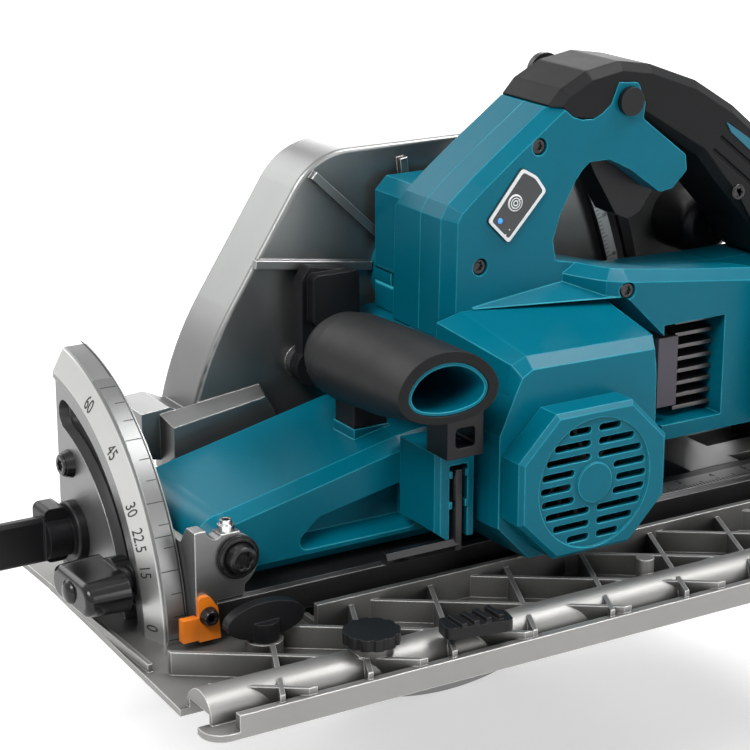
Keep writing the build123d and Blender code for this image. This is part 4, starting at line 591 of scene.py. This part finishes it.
class SAW_OT_scale(bpy.types.Operator):
    """Bevel scale: raised band, graduations every 5 degrees, numbers, a black sheet in the slot as
    painted shade
    """
    bl_idname = "saw.scale"
    bl_label = "Bevel scale"

    def execute(self, context):
        ink = finish("scale_ink_and_groove_shade", (0.018, 0.018, 0.018), 0.5, edge=0.0001, bump=0.04)
        metal = finish("band_metal", [c * 0.8 for c in settings().casting], 0.34, 0.75,
                       edge=0.0004, grain=1800.0, bump=0.1, depth=0.0001,
                       worn_and_highlight_colour=(0.6, 0.6, 0.6), wear_and_highlight=1.0)
        front, rear = BAND_X
        # the band: a flat top between two small chamfers, on the plate's rim
        chamfer = 0.5
        profile = [(front, BAND_FOOT), (front, BAND_R - chamfer), (front + chamfer, BAND_R),
                   (rear - chamfer, BAND_R), (rear, BAND_R - chamfer), (rear, BAND_FOOT)]
        start, end = SCALE_ZERO - 0.4, SCALE_ZERO + max(SCALE_NUMBERS) + 3
        piece("scale_band", carried(profile, sweep(start, end, 90), on_bevel), "base", metal)
        marks = [self.mark(value, front + 0.6 if value in SCALE_NUMBERS else front + 3.6)
                 for value in sorted({*SCALE_NUMBERS,
                                      *range(0, max(SCALE_NUMBERS) + 1, SCALE_STEP)})]
        piece("scale_marks", join(marks), "base", ink)
        # a dark line round the rim behind the band: painted shade in place of a groove, in the ink
        groove = box_profile(rear + 0.1, rear + 0.7, BAND_FOOT + 0.5, BAND_FOOT + 0.75)
        piece("scale_groove", carried(groove, sweep(start, 83.0, 90), on_bevel), "base", ink)
        tall = settings().mark_height / MM
        numbers = [self.number(str(value), tall) for value in SCALE_NUMBERS]
        piece("scale_numbers", join(numbers), "base", ink)
        # a thin black sheet behind the slot, painted shade for the dark seen in it, clamped on the
        # bolt by a sleeve
        black = finish("slot_shade_black", (0.02, 0.02, 0.021), 0.4, 0.5, bump=0.05)
        sheet = carried(box_profile(*SHADE_SHEET_X, *SHADE_SHEET_R), sweep(6.5, 82.0, 80), on_bevel)
        bolt = on_bevel(SHADE_SHEET_X[1] - 0.1, BOLT_R, math.radians(BOLT_ANGLE))
        sleeve = turned([(7.5, 0, 0), (7.5, 6.8, 0)], bolt, (1, 0, 0))
        piece("slot_shade_sheet", join([sheet, sleeve]), "tilt_frame", black)
        return {"FINISHED"}

    def mark(self, value, start):
        """A dark line across the band's top, 0.44 mm wide."""
        middle = math.radians(value + SCALE_ZERO)
        half = 0.22 / BAND_R
        return carried(box_profile(start, BAND_X[1] - 0.6, BAND_R - 0.1, BAND_R + 0.06),
                       [middle - half, middle + half], on_bevel)

    def number(self, words, tall):
        """Numbers laid on the cone: along the line the angle falls, upward the radius grows.
        The 0 stands a little above its mark, clear of the sole."""
        points, faces = letters(words, tall, 0.6, 0.24)
        along, up, out = points.T
        radius = NUMBER_R + up
        middle = math.radians(max(float(words), 1.5) + SCALE_ZERO + 0.4)
        angle = middle - along / NUMBER_R
        x, y, z = on_bevel(cone_face(radius) - out, radius, angle)
        return np.stack([x, y, z], -1), faces


class SAW_OT_depth_scale(bpy.types.Operator):
    """Depth scale: a pale strip on the arc with a mark each millimetre and numbers"""
    bl_idname = "saw.depth_scale"
    bl_label = "Depth scale"

    def execute(self, context):
        strip = finish("strip_metal", (0.52, 0.52, 0.51), 0.35, 0.6, edge=0.0002, bump=0.05)
        ink = finish("depth_ink", (0.02, 0.02, 0.02), 0.5, edge=0.0001, bump=0.03)
        inner, outer = DEPTH_R
        band = carried(box_profile(ARC_FACE + 0.2, ARC_FACE - 0.3, inner, outer),
                       sweep(-3.0, 33.0, 90), on_depth)
        piece("depth_strip", band, "tilt_frame", strip)
        marks = [self.mark(step) for step in range(DEPTH_MARKS)]
        marks += [self.number(step) for step in range(0, DEPTH_MARKS, 10)]
        piece("depth_marks", join(marks), "tilt_frame", ink)
        return {"FINISHED"}

    def mark(self, step):
        """A thin dark line from the strip's inner edge, longer at each fifth."""
        middle = math.radians(DEPTH_ZERO + DEPTH_STEP * step)
        half = 0.0005
        end = DEPTH_R[0] + (2.2 if step % 5 else 3.4)
        return carried(box_profile(ARC_FACE - 0.25, ARC_FACE - 0.42, DEPTH_R[0] + 0.2, end),
                       [middle - half, middle + half], on_depth)

    def number(self, step):
        """A number read from the rear: along the line the radius grows, upward the angle."""
        points, faces = letters(str(step), 2.1, 0.8, 0.16)
        along, up, out = points.T
        angle = math.radians(DEPTH_ZERO + DEPTH_STEP * step) + up / DEPTH_NUMBER_R
        x, y, z = on_depth(ARC_FACE - 0.34 - out, DEPTH_NUMBER_R + along, angle)
        return np.stack([x, y, z], -1), faces


class SAW_OT_bar_rule(bpy.types.Operator):
    """Rule along the tilt bar's top, with a line each 2 mm and a number each 20 mm"""
    bl_idname = "saw.bar_rule"
    bl_label = "Bar rule"

    def execute(self, context):
        low, high = map(in_mm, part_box("tilt_bar"))
        start, end = 160.0, high[0] - 8
        near, top = low[1] + 2.5, high[2]
        gap = 2.0                      # from one line to the next
        metal = finish("rule_metal", (0.3, 0.3, 0.3), 0.34, 0.85, edge=0.0003, bump=0.06)
        ink = finish("rule_ink", (0.012, 0.012, 0.012), 0.5, edge=0.0001, bump=0.03)
        piece("rule_strip", block((start, end), (near, near + 12), (top - 0.2, top + 0.35)),
              "tilt_frame", metal)
        steps = range(1, int((end - start) / gap))
        marks = [self.mark(start + gap * step, near, 3.0 if step % 5 else 5.0, top)
                 for step in steps]
        for step in steps[9::10]:
            points, faces = letters(str(step // 10), 4.4, 0.8, 0.2)
            marks.append((points + (start + gap * step, near + 8.6, top + 0.38), faces))
        piece("rule_marks", join(marks), "tilt_frame", ink)
        return {"FINISHED"}

    def mark(self, x, near, reach, top):
        """A dark line across the rule, from its near edge."""
        half = 0.28
        return block((x - half, x + half), (near + 0.5, near + reach), (top + 0.2, top + 0.42))


class SAW_OT_pad(bpy.types.Operator):
    """Mode pad: white rim, black face, round white button and a small blue light"""
    bl_idname = "saw.pad"
    bl_label = "Mode pad"

    def execute(self, context):
        white = finish("pad_white", (0.78, 0.79, 0.79), 0.4, edge=0.0002, bump=0.03)
        black = finish("pad_black", (0.012, 0.014, 0.018), 0.22, edge=0.0003, bump=0.02)
        back = PAD_FACE + 0.3
        rim = hoop(rounded(PAD_CORNERS, 0.3, 1.8), rounded(PAD_CORNERS, 1.7, 1.5),
                   back, PAD_FACE - 0.35)
        piece("pad_rim", rim, "saw_body", white)
        piece("pad_face", slab(rounded(PAD_CORNERS, 1.6, 1.5), back, PAD_FACE - 0.12),
              "saw_body", black)
        button = np.insert(PAD_BUTTON, 1, PAD_FACE + 0.1)
        disc = turned([(3.9, 0, 0), (3.9, 0.4, 0), (3.6, 0.62, 0), (0.6, 0.62, 0)],
                      button, NEAR)
        piece("pad_button", disc, "saw_body", white)
        rings = [self.circle(button, radius) for radius in (2.9, 1.7)]
        spot = turned([(0.75, 0.5, 0), (0.75, 0.7, 0)], button, NEAR, 24)
        dots = [turned([(0.35, 0, 0), (0.35, 0.2, 0)], (x, PAD_FACE - 0.1, z), NEAR, 16)
                for x, z in PAD_DOTS]
        piece("pad_rings", join([*rings, spot]), "saw_body", black)
        piece("pad_dots", join(dots), "saw_body", white)
        glow = finish("pad_light", (0.02, 0.12, 0.5), 0.2, bump=0.01)
        lit = glow.node_tree.nodes["Principled BSDF"]
        lit.inputs["Emission Color"].default_value = (0.03, 0.35, 1.0, 1)
        lit.inputs["Emission Strength"].default_value = 0.9
        lens = turned([(1.3, 0, 0), (1.3, 0.15, 0), (0.9, 0.35, 0), (0.4, 0.42, 0)],
                      np.insert(PAD_LIGHT, 1, PAD_FACE - 0.05), NEAR, 32)
        piece("pad_lens", lens, "saw_body", glow)
        return {"FINISHED"}

    def circle(self, button, radius):
        """A thin raised ring: a small square carried once round the button."""
        def round_button(y, away, angle):
            return button[0] + away * np.cos(angle), y, button[2] + away * np.sin(angle)
        half = 0.28
        return carried(box_profile(button[1] - 0.5, button[1] - 0.7, radius - half,
                                   radius + half), sweep(35, 385, 60), round_button)


class SAW_OT_screw_heads(bpy.types.Operator):
    """Star-recessed tops on the screws that show, and the hub cap of the wing knob"""
    bl_idname = "saw.screw_heads"
    bl_label = "Screw heads"

    def execute(self, context):
        black = finish("screw_black", (0.01, 0.01, 0.011), 0.22, 0.3, edge=0.0002,
                       grain=1500.0, bump=0.03, worn_and_highlight_colour=(0.2, 0.2, 0.2), wear_and_highlight=0.8)
        shell = [star_head(seat, NEAR, 3.75, 1.5, 1.9, 1.2) for seat in SHELL_SCREWS]
        piece("shell_screw_tops", join(shell), "saw_body", black)
        grip_screw = star_head(GRIP_SCREW, NEAR, 3.9, 0.9, 2.0, 0.8)
        piece("grip_screw_top", grip_screw, "saw_body", black)
        pin_top = in_mm(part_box("pivot_pin")[0])[1]
        pin = star_head(np.insert(DEPTH_PIVOT, 1, pin_top + 0.3), NEAR, 6.3, 1.8, 3.3, 1.6)
        ring = turned([(8.9, 0, 0), (8.9, 0.5, 0), (8.2, 1.0, 0), (7.4, 1.0, 0), (7.0, 0.2, 0)],
                      np.insert(DEPTH_PIVOT, 1, pin_top + 3.7), NEAR)
        piece("pivot_top", join([pin, ring]), "tilt_frame", black)
        pointer = star_head(POINTER_SCREW, NEAR, 3.3, 1.2, 1.7, 1.0)
        piece("pointer_screw_top", pointer, "tilt_frame", black)
        plate = [star_head(PLATE_SCREW, (-1, 0, 0), 5.0, 1.7, 2.6, 1.3)]
        plate += [star_head(seat, (0, 0, 1), 3.75, 1.3, 1.9, 1.1) for seat in FOOT_SCREWS]
        piece("plate_screw_tops", join(plate), "base", black)
        low, high = map(in_mm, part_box("bevel_clamp_knob"))
        hub = (low[0] + 0.4, *((low + high) / 2)[1:])
        dome = turned([(5.6, -1, 0), (5.6, 0, 0), (5.2, 1.2, 0), (4.1, 2.2, 0), (2.4, 2.8, 0),
                       (0.8, 3.0, 0)], hub, (-1, 0, 0))
        piece("knob_hub", dome, "bevel_clamp_knob", black)
        return {"FINISHED"}


class SAW_OT_steel(bpy.types.Operator):
    """Steel pieces: blade, arbor, gears, scale arc, screws"""
    bl_idname = "saw.steel"
    bl_label = "Steel pieces"

    def execute(self, context):
        low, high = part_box("spindle")
        blade = finish("blade_steel", (0.24, 0.24, 0.245), 0.3, 0.95, grain=2500.0, bump=0.05,
                       depth=0.00005, worn_and_highlight_colour=(0.8, 0.8, 0.8), wear_and_highlight=0.5,
                       turned_about=(low + high) / 2)
        dress(blade, ["saw_blade"])
        steel = finish("machined_steel", (0.42, 0.42, 0.42), 0.28, 1.0, grain=2000.0, bump=0.06,
                       depth=0.00005)
        dress(steel, ["spindle", "drive_gear", "inner_flange", "outer_flange", "lay_shaft",
                      "rotor", "pinion", "bearings", "clamp_bolts", "depth_bolt"])
        winding = finish("stator_iron", (0.2, 0.12, 0.07), 0.5, 0.6)
        dress(winding, ["stator"])
        arc = finish("scale_steel", (0.03, 0.03, 0.031), 0.34, 0.7, grain=2200.0, bump=0.06,
                     worn_and_highlight_colour=(0.3, 0.3, 0.3), wear_and_highlight=0.8)
        dress(arc, ["depth_guide"])
        black = finish("black_oxide", (0.01, 0.01, 0.011), 0.26, 0.4, edge=0.0003,
                       worn_and_highlight_colour=(0.16, 0.16, 0.16), wear_and_highlight=0.8)
        dress(black, ["body_screws", "plate_screws", "pointer_screw", "pivot_pin", "blade_bolt",
                      "hex_key"])
        bar = finish("bar_casting", (0.045, 0.045, 0.046), 0.38, 0.8, edge=0.0006, grain=1400.0,
                     bump=0.15, depth=0.00015, worn_and_highlight_colour=(0.5, 0.5, 0.5), wear_and_highlight=1.4)
        dress(bar, ["tilt_bar"])
        chrome = finish("bright_chrome", (0.62, 0.62, 0.63), 0.12, 1.0, edge=0.0004, bump=0.01)
        dress(chrome, ["set_screw"])
        return {"FINISHED"}


class SAW_OT_grips(bpy.types.Operator):
    """Soft grips: rubber over the handle and the front barrel, with a housing-coloured inset"""
    bl_idname = "saw.grips"
    bl_label = "Grips"

    def execute(self, context):
        rubber = finish("grip_rubber", settings().rubber, 0.46, edge=0.0009, grain=2200.0,
                        bump=0.25, depth=0.00012, cloud=0.14, gloss_change=0.08, specular=0.12,
                        worn_and_highlight_colour=(0.045, 0.045, 0.047), wear_and_highlight=0.7)
        dress(rubber, ["rubber_grip", "front_grip"])
        inset = finish("inset_plastic", settings().housing, 0.3, edge=0.0003, bump=0.05,
                       specular=0.4)
        outline = rounded([(251.2, 191.6), (254.2, 186.4), (267.4, 175.6), (267.0, 181.4)],
                          0.0, 0.8)
        piece("grip_inset", slab(outline, -91.8, -92.5), "saw_body", inset)
        return {"FINISHED"}


class SAW_OT_knobs(bpy.types.Operator):
    """Knobs, levers, trigger, battery: black mouldings"""
    bl_idname = "saw.knobs"
    bl_label = "Black mouldings"

    def execute(self, context):
        satin = finish("black_moulding", (0.008, 0.008, 0.009), 0.36, edge=0.0006, grain=2400.0,
                       bump=0.12, depth=0.0001, specular=0.2, worn_and_highlight_colour=(0.06, 0.06, 0.062), wear_and_highlight=0.8)
        dress(satin, ["grip_posts", "guard_lever", "trigger", "lock_button", "depth_lever",
                      "spindle_lock", "battery_pack", "battery_shoe", "dust_nozzle", "fan",
                      "mode_pad", "rail_knob_front", "rail_knob_rear", "slide_lever",
                      "fence_screw", "stop_knob"])
        gloss = finish("gloss_moulding", (0.006, 0.006, 0.007), 0.14, edge=0.0008, grain=900.0,
                       bump=0.03, specular=0.35, worn_and_highlight_colour=(0.05, 0.05, 0.05), wear_and_highlight=0.6)
        dress(gloss, ["bevel_clamp_knob", "rear_clamp_knob", "battery_latch"])
        orange = finish("pointer_plastic", settings().pointer, 0.32, edge=0.0003, bump=0.04)
        dress(orange, ["bevel_pointer"])
        plate = finish("blank_label", (0.035, 0.03, 0.045), 0.4, bump=0.03)
        dress(plate, ["blank_plate"])
        return {"FINISHED"}


class SAW_OT_stage(bpy.types.Operator):
    """Pale floor, soft lamps and the camera"""
    bl_idname = "saw.stage"
    bl_label = "Stage"

    def execute(self, context):
        scene = context.scene
        scene.view_settings.view_transform = "Standard"
        low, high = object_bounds()
        middle = (low + high) / 2
        # floor: a square sheet just under the object's lowest point
        half = 6.0
        mesh = bpy.data.meshes.new("floor")
        corners = [(x * half, y * half, low.z - 0.3 * MM)
                   for x, y in ((-1, -1), (1, -1), (1, 1), (-1, 1))]
        mesh.from_pydata(corners, [], [(0, 1, 2, 3)])
        floor = bpy.data.objects.new("floor", mesh)
        scene.collection.objects.link(floor)
        floor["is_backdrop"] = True
        mesh.materials.append(self.floor_material())
        self.world(scene)
        # the lamps stand where the long rims and upper facets throw them back to the eye
        self.lamp("key_lamp", (-1.1, -0.8, 1.5), middle, 0.9, 0.7, 30)
        self.lamp("fill_lamp", (0.9, -1.9, 0.7), middle, 0.8, 0.8, 9)
        self.lamp("top_lamp", (0.95, -0.45, 1.6), middle, 0.9, 0.6, 26)
        self.lamp("rim_lamp", (-0.45, 1.45, 0.95), middle, 1.3, 0.9, 9)
        self.lamp("back_lamp", (0.95, 1.35, 0.55), middle, 0.9, 0.5, 5)
        camera = bpy.data.cameras.new("camera")
        camera.lens = settings().lens
        camera.sensor_width = 36.0
        eye = bpy.data.objects.new("camera", camera)
        scene.collection.objects.link(eye)
        target = Vector((0.115, 0.0, 0.0646))
        away, turn, rise = 1.100, math.radians(-31.2), math.radians(17.6)
        eye.location = target + away * Vector((math.sin(turn) * math.cos(rise),
                                               -math.cos(turn) * math.cos(rise),
                                               math.sin(rise)))
        eye.rotation_euler = (target - eye.location).to_track_quat("-Z", "Y").to_euler()
        scene.camera = eye
        return {"FINISHED"}

    def lamp(self, name, place, target, wide, tall, power):
        """An oblong lamp that looks at the target."""
        light = bpy.data.lights.new(name, "AREA")
        light.shape = "RECTANGLE"
        light.size, light.size_y = wide, tall
        light.energy = power
        lamp = bpy.data.objects.new(name, light)
        lamp.location = place
        lamp.rotation_euler = (target - lamp.location).to_track_quat("-Z", "Y").to_euler()
        bpy.context.scene.collection.objects.link(lamp)

    def seen(self, tree):
        """1 for camera, glossy and transmission rays."""
        path = tree.nodes.new("ShaderNodeLightPath")
        two = calc(tree, "MAXIMUM", path.outputs["Is Camera Ray"], path.outputs["Is Glossy Ray"])
        return calc(tree, "MAXIMUM", two, path.outputs["Is Transmission Ray"])

    def world(self, scene):
        """A dim studio that looks white where it is seen."""
        world = bpy.data.worlds.new("studio")
        world.use_nodes = True
        scene.world = world
        tree = world.node_tree
        back = tree.nodes["Background"]
        back.inputs["Color"].default_value = (1, 1, 1, 1)
        back.inputs["Strength"].default_value = 0.12
        white = tree.nodes.new("ShaderNodeBackground")
        white.inputs["Color"].default_value = (1, 1, 1, 1)
        white.inputs["Strength"].default_value = 1.0
        mix = tree.nodes.new("ShaderNodeMixShader")
        tree.links.new(self.seen(tree), mix.inputs["Fac"])
        tree.links.new(back.outputs[0], mix.inputs[1])
        tree.links.new(white.outputs[0], mix.inputs[2])
        tree.links.new(mix.outputs[0], tree.nodes["World Output"].inputs["Surface"])

    def floor_material(self):
        """Pale matt floor, lifted to white with distance where it is seen: the lift runs from
        0.5 within 0.4 m of the middle to 1 at 1.1 m."""
        material = bpy.data.materials.new("floor")
        material.use_nodes = True
        tree = material.node_tree
        shader = tree.nodes["Principled BSDF"]
        shader.inputs["Base Color"].default_value = (0.7, 0.7, 0.7, 1)
        shader.inputs["Roughness"].default_value = 0.9
        shader.inputs["Specular IOR Level"].default_value = 0.1
        away = vector_calc(tree, "LENGTH", object_place(tree))
        rise = tree.nodes.new("ShaderNodeMapRange")
        for label, value in (("From Min", 0.4), ("From Max", 1.1), ("To Min", 0.5),
                             ("To Max", 1.0)):
            rise.inputs[label].default_value = value
        tree.links.new(away, rise.inputs["Value"])
        glow = tree.nodes.new("ShaderNodeEmission")
        glow.inputs["Color"].default_value = (1, 1, 1, 1)
        strength = calc(tree, "MULTIPLY", self.seen(tree), rise.outputs["Result"])
        tree.links.new(strength, glow.inputs["Strength"])
        both = tree.nodes.new("ShaderNodeAddShader")
        tree.links.new(shader.outputs[0], both.inputs[0])
        tree.links.new(glow.outputs[0], both.inputs[1])
        tree.links.new(both.outputs[0], tree.nodes["Material Output"].inputs["Surface"])
        return material


PIECES = (SAW_OT_stage, SAW_OT_housings, SAW_OT_castings, SAW_OT_steel, SAW_OT_grips,
          SAW_OT_knobs, SAW_OT_scale, SAW_OT_depth_scale, SAW_OT_bar_rule, SAW_OT_pad,
          SAW_OT_screw_heads)


class SAW_PT_panel(bpy.types.Panel):
    """Lists the saw's pieces"""
    bl_idname = "SAW_PT_panel"
    bl_label = "Saw"
    bl_space_type = "VIEW_3D"
    bl_region_type = "UI"
    bl_category = "Saw"

    def draw(self, context):
        for maker in PIECES:
            self.layout.operator(maker.bl_idname)


CLASSES = (SawSettings, *PIECES, SAW_PT_panel)


def register():
    for cls in CLASSES:
        bpy.utils.register_class(cls)
    bpy.types.Scene.saw_settings = bpy.props.PointerProperty(type=SawSettings)


def unregister():
    del bpy.types.Scene.saw_settings
    for cls in reversed(CLASSES):
        bpy.utils.unregister_class(cls)


def main():
    """Dress the saw and set the stage."""
    register()
    for maker in PIECES:
        group, name = maker.bl_idname.split(".")
        if "FINISHED" not in getattr(getattr(bpy.ops, group), name)():
            raise RuntimeError(f"{maker.bl_idname} didn't finish")


if __name__ == "__main__":
    main()
